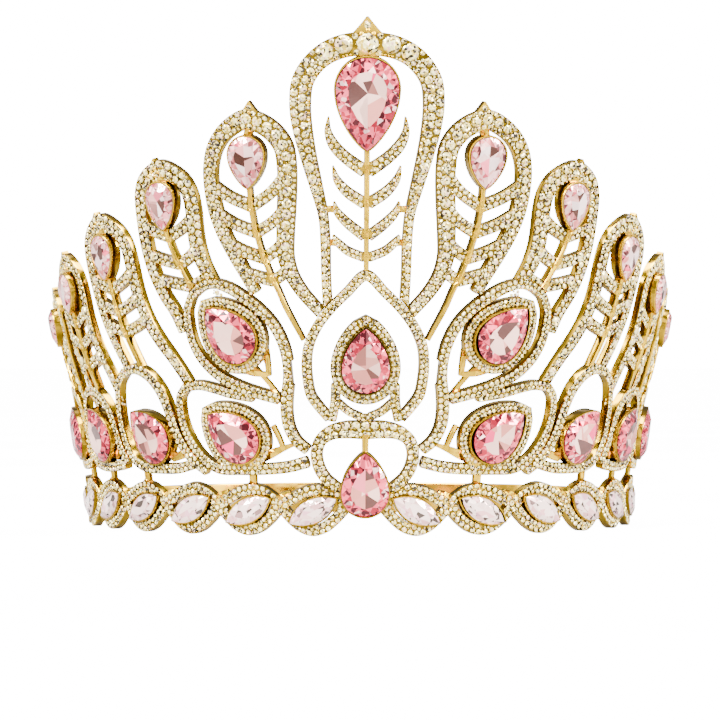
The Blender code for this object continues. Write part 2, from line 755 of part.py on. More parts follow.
def band(rows, level=bandThickness, kind="pave"):
    return dict(shape="ribbon", rows=rows, level=level, kind=kind)


def cup(cut, at, halo=0.0, rim=bezelHeight, wall=bezelWall, count=pearPoints):
    # Halo, bezel wall and floor round a stone
    out = []
    if halo:
        out.append(dict(shape="stone", cut=cut, at=at, grow=halo, count=count, level=haloThickness, kind="halo"))
    out.append(dict(shape="stone", cut=cut, at=at, grow=seatClearance + wall, count=count, level=rim, kind="bezel"))
    out.append(dict(shape="stone", cut=cut, at=at, grow=seatClearance, count=count, level=cupFloor, kind="floor"))
    return out


def spear(az, z, height, width):
    # Ogee point over an arch
    rows = [(az, z - height * left, width * share) for left, share in spearRows]
    return band(rows, kind="point")


def centreFeather():
    both = [(-a, z, w) for a, z, w in centreBand] + [(0.0, 133.7, 6.2)] + list(reversed(centreBand))
    specs = [spear(0.0, 141.2, 6.4, 10.5), band(both)]
    for rows in centreBarbs:
        specs.append(band([(-a, z, w) for a, z, w in rows]))
        specs.append(band(rows))
    for z, inner, outer, width in centreLinks:
        for side in (-1, 1):
            specs.append(band([(side * inner, z, width), (side * outer, z, width)], stemThickness, kind="gold"))
    z, length, width, up = centrePears["top"]
    specs.append(band([(0.0, 105.0, 1.6), (0.0, 90.0, 1.5), (0.0, 73.4, 1.4)], haloThickness, kind="gold"))
    specs.append(band([(-2.4, 131.6, 3.0), (2.4, 131.6, 3.0)], haloThickness, kind="gold"))
    specs.extend(cup("pear", (0.0, z, length, width, 180.0), wall=thinWall, count=topPearPoints))
    return specs


def bandAt(rows, column, z):
    # Azimuth of a side band at a height
    pairs = sorted((r[0], r[column]) for r in rows if r[column] is not None)
    return float(np.interp(z, [p[0] for p in pairs], [p[1] for p in pairs]))


def sideFeather(row):
    rows = row["rows"]
    tipAz, tipZ = row["tip"]
    outer = [(r[2], r[0], r[3]) for r in reversed(rows) if r[2] is not None]
    inner = [(r[4], r[0], r[5]) for r in rows if r[4] is not None]
    top = (row["pear"][0], rows[0][0] + 0.9, rows[0][3])
    specs = [spear(tipAz, tipZ, 5.6, 8.0), band(outer + [top] + inner)]
    stem = [(r[1], r[0], featherStem) for r in rows if r[1] is not None]
    stem.append((row["stemEnd"][0], row["stemEnd"][1], 1.2))
    for z, riseOut, riseIn in row["barbs"]:
        root = bandAt([(s[1], s[0]) for s in stem], 1, z)
        for column, rise in ((2, riseOut), (4, riseIn)):
            end = bandAt(rows, column, z + rise)
            mid = root + (end - root) * 0.55
            specs.append(band([(root, z - 0.4, 3.4), (mid, z + rise * 0.38, 3.3), (end, z + rise, 3.0)]))
    az, z, length, width = row["pear"]
    specs.append(band([(az, z + length / 2 - 0.4, 2.4), (tipAz, rows[0][0] - 0.8, 2.4)], kind="gold"))
    specs.append(band([(stem[0][0], z - length / 2 + 0.6, 1.5)] + stem, haloThickness, kind="gold"))
    specs.extend(cup("pear", (az, z, length, width, 180.0), wall=thinWall))
    return specs


def mandorla():
    loop = [(-a, z, w) for a, z, w in reversed(mandorlaLoop)] + mandorlaLoop[1:]
    ring = [(-a, z, w) for a, z, w in reversed(heartRing)] + heartRing[1:]
    specs = [band(loop, eyeThickness), band(ring, eyeThickness)]
    for side in (-1, 1):
        specs.append(band([(side * 13.0, 48.4, 2.0), (side * 12.8, 42.2, 2.0)], stemThickness, kind="gold"))
        specs.append(band([(side * 5.5, 42.0, 2.7), (side * 5.7, 37.0, 2.7), (side * 6.4, 32.4, 2.7)], eyeThickness))
        specs.append(band([(side * 0.8, 33.2, 2.2), (side * 3.0, 34.6, 2.2), (side * 5.2, 37.2, 2.2)],
                          eyeThickness, kind="gold"))
    specs.append(band([(0.0, 33.6, 2.4), (0.0, 30.0, 2.4)], eyeThickness, kind="gold"))
    specs.append(band([(0.0, 28.0, 1.9), (0.0, 22.6, 1.7)], haloThickness, kind="gold"))
    z, length, width, up = centrePears["middle"]
    specs.extend(cup("pear", (0.0, z, length, width, 0.0), halo=centreHalo))
    z, length, width, up = centrePears["drop"]
    specs.extend(cup("pear", (0.0, z, length, width, 0.0)))
    return specs


def eye(names, gold, pears, halo):
    specs = [band(eyeBands[n], eyeThickness) for n in names]
    specs.extend(band(rows, stemThickness, kind="gold") for rows in eyeGold[gold])
    for p in pears:
        specs.extend(cup("pear", eyePears[p], halo=halo))
    return specs


def garlandSide():
    specs = []
    count = garland["count"]
    for sign in (1, -1):
        rows = []
        for i in range(-3, (count - 1) * 6 + 4):
            s = i / 6
            swing = sign * math.cos(math.pi * s)
            z = garland["crossing"] + (garland["rise"] if swing > 0 else garland["drop"]) * swing
            az = garland["first"] + garland["pitch"] * s - 0.22 * max(0.0, z - garland["crossing"])
            rows.append((az, z, garland["strand"]))
        specs.append(band(rows, eyeThickness))
    for k in range(count):
        az = garland["first"] + garland["pitch"] * (k - 0.5)
        if k:
            specs.append(band([(az + 0.6, 8.0, 2.0), (az - 0.4, 10.4, 3.4), (az - 1.9, 12.4, 0.8)],
                              stemThickness, kind="gold"))
    for k in (1, 3, 4, 5):
        az = garland["first"] + garland["pitch"] * k - 1.0
        specs.append(band([(az, 12.8, 2.2), (az, 17.4, 2.2)], stemThickness, kind="gold"))
    end = garland["first"] + garland["pitch"] * (count - 0.5)
    specs.append(band([(end - 2.4, 4.9, 7.0), (end + 1.4, 4.9, 9.4)], stemThickness, kind="gold"))
    for k in range(count):
        az = garland["first"] + garland["pitch"] * k
        at = (az, marquise["height"], marquise["length"], marquise["width"], -marquise["lean"])
        specs.extend(cup("navette", at, rim=haloThickness, wall=thinWall, count=marquisePoints))
    return specs


def castings():
    # Name and painted shapes of each casting, the first ones cut the later ones back
    out = [("mandorla", mandorla(), 0)]
    sides = (("left", -1), ("right", 1))
    for word, side in sides:
        parts = [
            ("eyes_%s_1" % word, eye(["firstInner", "firstOuter", "lowerTop", "lowerOuter"], "first",
                                     ["upper", "lower"], eyeHalo)),
            ("eyes_%s_2" % word, eye(["secondInner", "secondOuter"], "second", ["second"], 0)),
            ("eyes_%s_3" % word, eye(["thirdInner", "thirdOuter"], "third", ["third"], 0)),
            ("eyes_%s_4" % word, eye(["fourthInner", "fourthOuter"], "fourth", ["fourth"], 0)),
            ("garland_%s" % word, garlandSide()),
        ]
        out.extend((name, [mirrored(s, side) for s in specs], side) for name, specs in parts)
    out.append(("feather_centre", centreFeather(), 0))
    for word, side in sides:
        for row in feathers:
            out.append(("feather_%s_%s" % (word, row["name"]), [mirrored(s, side) for s in sideFeather(row)], side))
    return out


def stones():
    # Name, cut, placing, seat height, outline points, proportions and colour of each main stone
    out = []
    for name, row in centrePears.items():
        z, length, width, up = row
        at = (0.0, z, length, width, 0.0 if up else 180.0)
        count = topPearPoints if name == "top" else pearPoints
        out.append(("pear_centre_" + name, "pear", at, stoneSeat, count, cuts["centre"], roseColour))
    for word, side in (("left", -1), ("right", 1)):
        for row in feathers:
            az, z, length, width = row["pear"]
            name = "pear_feather_%s_%s" % (word, row["name"])
            at = (side * az, z, length, width, 180.0)
            out.append((name, "pear", at, stoneSeat, pearPoints, cuts["feather"], roseColour))
        for name, row in eyePears.items():
            az, z, length, width, lean = row
            at = (side * az, z, length, width, side * lean)
            name = "pear_eye_%s_%s" % (word, name)
            out.append((name, "pear", at, stoneSeat, pearPoints, cuts["eye"], roseColour))
        for k in range(garland["count"]):
            at = (side * (garland["first"] + garland["pitch"] * k), marquise["height"], marquise["length"],
                  marquise["width"], -side * marquise["lean"])
            name = "marquise_%s_%d" % (word, k + 1)
            out.append((name, "navette", at, marquiseSeat, marquisePoints, cuts["marquise"], paleColour))
    return out


def backBand():
    # Plain band round the back, flat foot on the floor
    start = math.radians(backBandStart)
    span = 2 * math.pi - 2 * start
    outer = profileRows[0][1]
    verts = []
    faces = []
    n = backBandStations
    for i in range(n + 1):
        a = start + span * i / n
        for radius, z in ((outer, 0.0), (outer, backBandHeight), (outer - backBandThickness, backBandHeight),
                          (outer - backBandThickness, 0.0)):
            x = radius * math.sin(a) + bulge(math.degrees(a)) - middle[0]
            verts.append((x / 1000, (-radius * math.cos(a) - middle[1]) / 1000, z / 1000))
    for i in range(n):
        for k in range(4):
            a = i * 4 + k
            b = i * 4 + (k + 1) % 4
            faces.append([a, a + 4, b + 4, b])
    faces.append([0, 1, 2, 3])
    last = n * 4
    faces.append([last + 3, last + 2, last + 1, last])
    return verts, faces


def material(name, colour, roughness, metallic):
    mat = bpy.data.materials.new(name)
    mat.use_nodes = True
    shader = mat.node_tree.nodes["Principled BSDF"]
    shader.inputs["Base Color"].default_value = colour
    shader.inputs["Roughness"].default_value = roughness
    shader.inputs["Metallic"].default_value = metallic
    mat.diffuse_color = colour
    return mat


def addObject(name, verts, faces, mat):
    mesh = bpy.data.meshes.new(name)
    mesh.from_pydata([tuple(float(c) for c in v) for v in verts], [], [list(map(int, f)) for f in faces])
    mesh.update()
    mesh.materials.append(mat)
    obj = bpy.data.objects.new(name, mesh)
    bpy.context.scene.collection.objects.link(obj)
    return obj


def main():
    for obj in list(bpy.data.objects):
        bpy.data.objects.remove(obj, do_unlink=True)
    total = 0
    groups = castings()
    for i, (name, specs, side) in enumerate(groups):
        cutters = []
        for other, otherSpecs, otherSide in groups[:i]:
            if side and otherSide and side != otherSide:
                continue
            cutters.extend(s for s in otherSpecs if s["kind"] != "floor")
        verts, faces = relief(specs, cutters)
        obj = addObject(name, verts, faces, material(name, goldColour, 0.22, 1.0))
        total += len(faces)
        print(name, len(faces))
    for name, cut, at, seat, count, proportions, colour in stones():
        verts, faces = gem(cut, at, seat, count, proportions)
        obj = addObject(name, verts, faces, material(name, colour, 0.05, 0.0))
        total += sum(len(f) - 2 for f in faces)
    verts, faces = backBand()
    addObject("back_band", verts, faces, material("back_band", goldColour, 0.2, 1.0))
    total += sum(len(f) - 2 for f in faces)
    print("triangles", total)


main()
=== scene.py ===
# Crystal crown: pierced gold castings, clear crystals set along their bands, rose pears and pale marquises
import math
import bmesh
import bpy
import numpy as np
from mathutils import Matrix, Vector, geometry


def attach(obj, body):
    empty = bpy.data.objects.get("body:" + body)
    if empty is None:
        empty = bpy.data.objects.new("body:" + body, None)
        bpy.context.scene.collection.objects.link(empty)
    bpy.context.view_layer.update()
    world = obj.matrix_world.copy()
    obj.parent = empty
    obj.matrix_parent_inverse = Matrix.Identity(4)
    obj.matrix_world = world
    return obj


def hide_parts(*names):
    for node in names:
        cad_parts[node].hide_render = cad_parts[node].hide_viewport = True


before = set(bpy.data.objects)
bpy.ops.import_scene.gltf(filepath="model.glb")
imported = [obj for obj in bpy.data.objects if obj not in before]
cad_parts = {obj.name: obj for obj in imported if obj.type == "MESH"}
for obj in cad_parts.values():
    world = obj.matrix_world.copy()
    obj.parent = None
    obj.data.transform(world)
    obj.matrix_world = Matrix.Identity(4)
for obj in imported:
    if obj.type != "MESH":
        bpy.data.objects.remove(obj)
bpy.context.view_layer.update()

# Layout is unrolled: azimuth in degrees from the front, height in mm, w in mm out of the inner face
mmPerDegree = 1.6
bandThickness = 2.0
stemThickness = 1.5
eyeThickness = 2.3
haloThickness = 2.7
bezelHeight = 3.3
cupFloor = 0.6
stoneSeat = 3.5
marquiseSeat = 2.9
featherStem = 1.4
centreHalo = 3.2
eyeHalo = 2.9
# Heights up to which small crystals fill a band: the centre arch, any other
archTop = 130.0
everywhere = 999.0
# The right side stands out by this much, from an azimuth on, over a rise and back to none over a fall
rightBulge = 2.0
bulgeStart = 15.0
bulgeRise = 22.0
bulgeFall = 80.0
# Middle of the bounds from the head's axis
middle = (1.0, -12.625)

# Outer face of the band castings: height, radius
profileRows = [
    (0.0, 79.4), (8.0, 79.5), (17.0, 81.0), (36.4, 83.8), (51.0, 87.2), (81.0, 93.0), (142.0, 104.5),
]

# Centre feather, one side, foot to arch: azimuth, height, width
centreBand = [
    (6.7, 62.5, 2.7), (6.9, 72.0, 2.7), (6.9, 80.0, 2.8), (7.2, 88.0, 2.8), (8.3, 96.0, 3.6),
    (9.5, 104.5, 4.6), (10.3, 112.0, 5.5), (10.5, 118.0, 5.9), (9.9, 124.2, 6.0), (7.4, 129.8, 6.1),
    (4.3, 132.7, 6.2),
]
# Barbs of the centre feather: rows of one barb, azimuth, height, width
centreBarbs = [
    [(0.4, 99.9, 3.6), (3.3, 103.3, 3.3), (5.3, 106.8, 3.0), (6.2, 110.5, 1.9), (6.1, 114.3, 0.4)],
    [(0.4, 91.2, 3.2), (3.3, 94.4, 2.9), (4.9, 97.7, 2.0), (5.5, 101.2, 0.4)],
    [(0.4, 82.4, 3.0), (3.2, 85.9, 2.7), (4.9, 89.0, 2.0), (5.4, 91.6, 0.5)],
    [(0.4, 76.6, 2.5), (3.3, 78.5, 2.4), (5.1, 81.2, 1.8), (5.6, 82.6, 0.5)],
]
# Gold links from a barb to the side band: height, inner azimuth, outer azimuth, width
centreLinks = [
    (89.6, 4.9, 7.2, 1.7),
    (80.6, 4.8, 7.0, 1.8),
]

# Side feathers: section height, stem azimuth or None, outer azimuth, width, inner azimuth, width
feathers = [
    dict(name="1", pattern="triple", barbPattern="double", tip=(18.7, 119.2), pear=(19.4, 102.6, 14.0, 10.0),
         stemEnd=(11.2, 54.4), rows=[
        (113.2, None, 20.9, 5.3, 17.5, 5.5),
        (110.4, None, 23.3, 4.9, 15.0, 5.6),
        (106.4, None, 25.1, 4.6, 13.4, 5.6),
        (101.0, None, 26.1, 4.3, 13.0, 5.5),
        (95.0, 19.4, 26.2, 4.3, 13.1, 5.4),
        (89.0, 19.2, 25.7, 4.3, 13.4, 5.3),
        (83.0, 18.6, 24.5, 4.2, 13.7, 5.0),
        (77.0, 17.6, 22.7, 4.0, 13.8, 4.7),
        (72.0, 16.5, 21.0, 3.7, 12.9, 4.0),
        (67.5, 15.2, 19.6, 3.4, 11.2, 3.6),
        (63.5, 14.2, None, 0, 9.0, 3.4),
        (61.2, None, None, 0, 7.6, 3.4),
    ], barbs=[(91.0, 6.0, 8.6), (83.9, 5.4, 6.6), (76.9, 3.9, 4.8), (70.8, 2.0, 3.2)]),
    dict(name="2", pattern="single", barbPattern="single", tip=(36.8, 104.7), pear=(35.8, 91.4, 13.0, 9.2),
         stemEnd=(30.4, 65.6), rows=[
        (100.6, None, 37.4, 4.8, 34.1, 5.0),
        (98.0, None, 39.4, 4.6, 31.7, 4.8),
        (94.5, None, 40.5, 4.2, 30.5, 4.7),
        (90.0, None, 40.8, 4.1, 30.1, 4.7),
        (85.0, 35.8, 40.8, 4.1, 30.1, 4.7),
        (80.0, 35.1, 40.6, 4.1, 29.9, 4.7),
        (75.0, 33.7, 40.0, 4.0, 29.0, 4.3),
        (71.0, 32.4, 39.2, 3.8, 27.7, 3.8),
        (66.5, 30.8, 37.8, 3.7, 26.0, 3.6),
        (62.0, None, 35.9, 3.6, None, 0),
        (57.0, None, 34.6, 3.4, None, 0),
    ], barbs=[(83.2, 3.0, 5.4), (75.6, 2.6, 4.4), (69.4, 2.0, 3.0)]),
    dict(name="3", pattern="single", barbPattern="single", tip=(52.9, 90.7), pear=(51.5, 77.8, 12.4, 8.8),
         stemEnd=(45.9, 46.5), rows=[
        (86.9, None, 53.1, 4.4, 49.8, 4.6),
        (84.3, None, 55.2, 4.1, 47.2, 4.4),
        (81.0, None, 56.5, 3.9, 45.8, 4.3),
        (76.5, None, 56.8, 3.8, 45.2, 4.3),
        (71.0, 51.3, 56.4, 3.8, 44.8, 4.3),
        (65.0, 50.6, 55.6, 3.7, 44.0, 4.1),
        (59.0, 49.6, 54.3, 3.6, 42.4, 3.9),
        (54.0, 48.3, 52.8, 3.4, 40.3, 3.7),
        (49.5, 46.9, 51.2, 3.2, 38.0, 3.4),
        (45.0, None, 49.6, 3.0, 36.0, 3.2),
        (42.4, None, None, 0, 35.0, 3.2),
    ], barbs=[(69.0, 3.0, 5.0), (62.8, 2.6, 4.2), (57.0, 2.4, 3.6)]),
    dict(name="4", pattern="single", barbPattern="single", tip=(67.9, 80.4), pear=(66.9, 68.2, 11.2, 8.2),
         stemEnd=(62.6, 40.5), rows=[
        (76.6, None, 68.3, 4.0, 65.3, 4.0),
        (74.4, None, 70.2, 3.7, 63.3, 3.7),
        (71.0, None, 71.6, 3.5, 62.0, 3.6),
        (66.5, None, 72.0, 3.4, 61.5, 3.6),
        (61.0, 66.8, 71.7, 3.3, 61.2, 3.6),
        (55.5, 66.1, 70.8, 3.3, 60.2, 3.5),
        (50.0, 64.9, 69.3, 3.2, 58.5, 3.3),
        (45.0, 63.8, 67.6, 3.1, 56.6, 3.2),
        (40.0, None, 65.8, 2.9, 55.0, 3.0),
        (36.0, None, 64.2, 2.9, 54.2, 2.9),
    ], barbs=[(59.5, 2.8, 4.2), (53.4, 2.4, 3.6), (47.6, 2.0, 3.0)]),
    dict(name="5", pattern="single", barbPattern="single", tip=(82.0, 70.6), pear=(82.0, 58.6, 10.4, 7.8),
         stemEnd=(77.8, 40.0), rows=[
        (66.9, None, 83.4, 3.7, 80.5, 3.7),
        (64.8, None, 85.2, 3.5, 78.7, 3.5),
        (61.5, None, 86.6, 3.2, 77.3, 3.3),
        (57.5, None, 86.9, 3.2, 76.9, 3.3),
        (52.5, 81.9, 86.6, 3.1, 76.6, 3.3),
        (47.5, 81.0, 85.6, 3.0, 75.6, 3.2),
        (43.0, 79.4, 84.4, 2.9, 74.2, 3.1),
        (38.5, None, 83.0, 2.8, 72.6, 2.9),
    ], barbs=[(51.8, 2.6, 3.6), (46.6, 2.2, 3.0)]),
]

# Centre mandorla loop, one side, apex to foot: azimuth, height, width
mandorlaLoop = [
    (0.0, 71.8, 2.9), (3.3, 67.2, 2.8), (6.3, 62.6, 2.8), (8.7, 57.8, 2.8), (10.3, 52.6, 2.8),
    (10.8, 47.8, 2.8), (10.7, 43.2, 2.8), (10.2, 39.2, 2.8), (8.7, 36.0, 2.8), (6.9, 33.0, 2.8),
]
# Ring round the heart openings, centre line to foot: azimuth, height, width
heartRing = [
    (0.0, 29.6, 5.0), (3.5, 29.7, 4.7), (6.5, 28.9, 4.0), (8.6, 26.7, 3.5), (9.4, 23.2, 3.3),
    (9.0, 19.5, 3.3), (7.7, 16.3, 3.2), (5.4, 13.6, 3.0),
]

# Pear stones of the eyes: azimuth, height, length, width, lean outward
eyePears = dict(
    upper=(24.9, 56.4, 18.0, 13.0, 41.0),
    lower=(26.0, 28.3, 17.6, 12.8, 50.0),
    second=(46.0, 28.0, 17.6, 12.8, 44.0),
    third=(63.9, 28.0, 17.0, 12.2, 36.0),
    fourth=(79.6, 28.0, 16.4, 11.6, 30.0),
)
# Bands of the eye castings: azimuth, height, width
eyeBands = dict(
    firstInner=[
        (31.9, 66.6, 2.5), (29.9, 68.8, 2.7), (27.3, 69.8, 2.8), (24.5, 68.6, 3.1), (21.9, 66.2, 3.2),
        (19.1, 62.9, 3.1), (16.6, 58.6, 3.1), (15.0, 53.6, 3.1), (14.3, 48.8, 3.1), (14.2, 44.0, 3.3),
        (14.7, 39.6, 3.4), (15.0, 35.0, 3.4), (14.6, 30.4, 3.3), (13.2, 26.6, 3.2), (11.2, 24.2, 3.0),
    ],
    firstOuter=[
        (31.9, 66.6, 2.5), (33.1, 62.6, 2.5), (33.2, 58.4, 2.6), (32.7, 53.8, 2.7), (31.2, 49.2, 2.8),
        (28.4, 45.0, 3.0), (24.8, 42.0, 3.1), (20.6, 39.8, 3.2), (16.4, 38.2, 3.2),
    ],
    lowerTop=[(35.6, 41.4, 2.6), (32.4, 41.8, 2.6), (29.0, 40.8, 2.7), (25.4, 39.4, 2.8), (21.6, 38.6, 2.8)],
    lowerOuter=[
        (35.6, 41.4, 2.6), (37.3, 38.6, 2.5), (37.6, 34.4, 2.5), (36.9, 29.6, 2.6), (35.3, 25.2, 2.7),
        (32.8, 21.2, 2.8), (29.6, 18.7, 2.9), (25.0, 18.5, 3.0), (20.0, 18.7, 3.1), (15.0, 19.4, 3.2),
        (11.2, 20.8, 3.3),
    ],
    secondInner=[
        (51.4, 45.6, 2.6), (48.0, 46.4, 3.0), (44.8, 44.6, 3.3), (42.4, 40.8, 3.4), (40.8, 35.4, 3.3),
        (39.6, 29.8, 3.3), (37.8, 24.8, 3.1), (35.4, 20.8, 3.0), (32.6, 18.0, 2.9),
    ],
    secondOuter=[
        (51.4, 45.6, 2.6), (53.9, 42.4, 2.5), (55.2, 37.6, 2.5), (55.4, 31.6, 2.5), (54.5, 25.8, 2.6),
        (52.4, 21.2, 2.8), (49.0, 18.8, 2.9), (44.4, 18.4, 3.0), (39.4, 18.6, 3.0), (35.8, 19.8, 2.9),
    ],
    thirdInner=[
        (68.4, 39.9, 2.6), (65.0, 40.0, 2.9), (61.6, 37.9, 3.1), (59.2, 33.8, 3.1), (57.9, 28.8, 3.1),
        (56.6, 24.0, 3.0), (54.6, 20.0, 2.9),
    ],
    thirdOuter=[
        (68.4, 39.9, 2.6), (70.9, 37.2, 2.5), (72.2, 32.8, 2.5), (72.2, 27.6, 2.5), (71.0, 22.8, 2.6),
        (68.6, 19.6, 2.8), (64.4, 18.4, 3.0), (59.6, 18.5, 3.0), (55.6, 19.4, 2.9),
    ],
    fourthInner=[
        (84.0, 39.6, 2.6), (80.8, 39.8, 2.8), (77.6, 37.8, 2.9), (75.4, 33.8, 3.0), (74.4, 28.8, 3.0),
        (73.4, 24.0, 2.9), (71.6, 20.0, 2.8),
    ],
    fourthOuter=[
        (84.0, 39.6, 2.6), (86.5, 37.0, 2.5), (87.9, 32.6, 2.6), (88.0, 27.4, 2.6), (87.0, 22.6, 2.7),
        (84.6, 19.4, 2.8), (80.6, 18.4, 2.9), (76.2, 18.5, 2.9), (72.6, 19.3, 2.8),
    ],
)
# Plain gold stems and leaves of the eyes: azimuth, height, width
eyeGold = dict(
    first=[
        [(22.4, 49.2, 1.5), (19.6, 44.6, 1.3), (16.4, 38.8, 1.2)],
        [(18.4, 53.6, 1.2), (18.3, 49.0, 1.7), (18.2, 44.4, 1.4)],
        [(24.0, 46.4, 1.8), (21.2, 45.0, 1.7), (18.4, 44.6, 1.3)],
        [(22.4, 20.6, 2.8), (19.0, 22.6, 2.6), (16.4, 24.2, 1.8), (14.0, 25.4, 1.0)],
        [(18.0, 30.6, 1.5), (16.9, 27.4, 1.5), (16.0, 24.0, 1.3)],
    ],
    second=[
        [(41.4, 21.4, 2.6), (38.2, 22.6, 2.2), (36.4, 23.8, 1.2)],
        [(47.6, 36.0, 2.6), (49.6, 40.0, 2.4), (50.8, 44.0, 2.2)],
    ],
    third=[
        [(59.8, 21.2, 2.4), (57.8, 22.8, 1.4)],
        [(66.0, 35.0, 2.4), (67.6, 38.8, 2.2)],
    ],
    fourth=[
        [(76.2, 21.2, 2.2), (74.6, 22.6, 1.2)],
        [(81.8, 34.6, 2.4), (83.2, 38.4, 2.2)],
    ],
)

# Garland: first marquise azimuth, pitch, count a side, crossing height, drop below it, rise above it
garland = dict(first=10.3, pitch=13.4, count=7, crossing=8.5, drop=6.6, rise=4.6, strand=3.2)
marquise = dict(height=7.3, length=14.6, width=6.6, lean=63.0)

# Pears of the centre line: height, length, width, point up or down
centrePears = dict(
    top=(117.8, 25.0, 17.0, False),
    middle=(48.9, 18.0, 13.0, True),
    drop=(14.7, 18.0, 13.0, True),
)
# Large stones: crown height, pavilion depth, table share
stoneCuts = dict(
    centre=(1.6, 2.2, 0.62),
    feather=(1.2, 2.0, 0.60),
    eye=(1.5, 2.2, 0.62),
    marquise=(1.0, 1.6, 0.55),
)

# How the castings are finished, mm
metal = dict(
    step=0.45,            # spacing of points along an edge
    tolerance=0.025,      # how far a straight may leave its curve
    longest=2.6,          # longest edge left on a straight
    seam=0.06,            # gap to the casting in front
    edgeDrop=0.32,        # rounding of the outer edges
    edgeWidth=0.18,
    rim=0.09,             # plain rim beside a channel
    channelIn=0.16,
    channelDepth=0.42,
    collar=0.42,          # gold collar round a large stone
    collarIn=0.03,
    check=0.05,           # margin when a height is looked up
    ridge=0.42,           # slope of plain gold, share of its width
    ridgeWidest=2.4,
    channelFrom=1.4,      # narrowest band with a channel
    narrowest=0.14,       # a band ends where it gets narrower
    tiny=1e-7,            # smallest triangle kept
    sharp=38,             # edges sharper than this stay sharp, degrees
)
# Painted shade on the metal, how dark it is painted: in channels, in cups, on outer rims, on walls from their edge
# down, and on the back
paintedShade = dict(channel=0.80, cup=0.90, rim=0.40, edge=0.60, wall=0.74, back=0.1)
# How the small crystals are set, mm
setting = dict(
    pitch=1.04,           # spacing in diameters
    edge=0.08,            # metal left beside the crystals, both sides
    smallest=0.62,
    large=3.1,            # diameter from which the finer cut is used
    sink=0.16,            # girdle below the rim
    bead=0.20,            # radius of a grain of metal between crystals
    fill=(1.05, 0.80, 0.60),  # diameters tried where there is room left
    every=0.42,           # spacing of the spots tried
    finest=3.2,           # narrowest band with two rows in place of one
    lean=4.5,             # greatest tilt of a crystal, degrees
    stand=0.43,           # reach of a crystal that has to stand on metal, in diameters
    apart=0.465,          # least distance of two crystals, in the sum of their diameters
    guard=0.3,            # gold this much lower than a crystal still keeps it away
    stray=0.2,            # how far a tried spot may lie off its grid
    haloEdge=0.06,        # metal left inside and outside a halo's two rows
    beadIn=0.28,          # outer grains from the edge of a band's room
    beadClear=0.92,       # least distance of a grain, in radii of the crystal
    beadApart=0.75,       # least distance of two grains, in the sum of their radii
    seed=7,
)


def smooth(rows, step):
    # Centripetal curve through rows of azimuth, height and width
    p = np.array(rows, float)
    p[:, 0] *= mmPerDegree
    ext = np.vstack([2 * p[0] - p[1], p, 2 * p[-1] - p[-2]])
    parts = []
    for i in range(1, len(ext) - 2):
        p0, p1, p2, p3 = ext[i - 1], ext[i], ext[i + 1], ext[i + 2]
        t1 = max(1e-6, np.hypot(*(p1 - p0)[:2])) ** 0.5
        t2 = t1 + max(1e-6, np.hypot(*(p2 - p1)[:2])) ** 0.5
        t3 = t2 + max(1e-6, np.hypot(*(p3 - p2)[:2])) ** 0.5
        t = np.linspace(t1, t2, max(2, int((t2 - t1) ** 2 / step) + 1), endpoint=False)[:, None]
        a1 = (t1 - t) / t1 * p0 + t / t1 * p1
        a2 = (t2 - t) / (t2 - t1) * p1 + (t - t1) / (t2 - t1) * p2
        a3 = (t3 - t) / (t3 - t2) * p2 + (t - t2) / (t3 - t2) * p3
        b1 = (t2 - t) / t2 * a1 + t / t2 * a2
        b2 = (t3 - t) / (t3 - t1) * a2 + (t - t1) / (t3 - t1) * a3
        parts.append((t2 - t) / (t2 - t1) * b1 + (t - t1) / (t2 - t1) * b2)
    q = np.vstack(parts + [p[-1:]])
    q[:, 0] /= mmPerDegree
    return q


def thin(p):
    # Drops points of a closed outline that a straight edge can do without
    far = int(np.argmax(np.hypot(*(p - p[0]).T)))
    keep = {0, far}
    stack = [(0, far), (far, len(p))]
    while stack:
        a, b = stack.pop()
        if b - a < 2:
            continue
        pa = p[a]
        seg = p[b % len(p)] - pa
        mid = p[a + 1:b]
        length = max(1e-9, np.hypot(*seg))
        d = np.abs((mid[:, 0] - pa[0]) * seg[1] - (mid[:, 1] - pa[1]) * seg[0]) / length
        k = int(np.argmax(d))
        if d[k] > metal["tolerance"] or length > metal["longest"]:
            if d[k] <= metal["tolerance"]:
                k = len(mid) // 2
            keep.add(a + 1 + k)
            stack.append((a, a + 1 + k))
            stack.append((a + 1 + k, b))
    return p[sorted(keep)]


def frameOf(curve):
    # Direction across a curve in azimuth and height, per mm
    m = degMm(curve[:, 1])
    x = curve[:, 0] * m.mean()
    tx = np.gradient(x)
    tz = np.gradient(curve[:, 1])
    n = np.maximum(1e-9, np.hypot(tx, tz))
    return np.stack([-tz / n / m, tx / n], axis=1), np.stack([tx / n / m, tz / n], axis=1)


def outlineOf(spec, inset):
    # Closed outline of one shape, drawn in by inset, in the unrolled plane
    if spec["shape"] == "stone":
        cut = tear if spec["cut"] == "pear" else navette
        az, z, length, width, lean = spec["at"]
        loop = turned(cut(length, width, spec["grow"] - inset, spec["count"]), az, z, lean)
        return loop * np.array([mmPerDegree, 1.0])
    curve = smooth(spec["rows"], metal["step"])
    curve[:, 2] -= 2 * inset
    wide = np.nonzero(curve[:, 2] > metal["narrowest"])[0]
    if len(wide) < 4:
        return None
    curve = curve[wide[0]:wide[-1] + 1].copy()
    curve[:, 2] = np.maximum(curve[:, 2], metal["narrowest"])
    across, along = frameOf(curve)
    half = curve[:, 2:3] / 2
    left = curve[:, :2] + across * half
    right = curve[:, :2] - across * half
    caps = []
    for end, sign in ((0, -1), (-1, 1)):
        turn = np.radians([60, 30, 0, -30, -60])[:, None] * sign
        reach = 0.3 * half[end] - 0.7 * inset
        caps.append(curve[end, :2] + across[end] * half[end] * np.sin(turn) +
                    sign * along[end] * reach * np.cos(turn))
    loop = np.vstack([left, caps[1], right[::-1], caps[0]])
    return thin(loop * np.array([mmPerDegree, 1.0]))


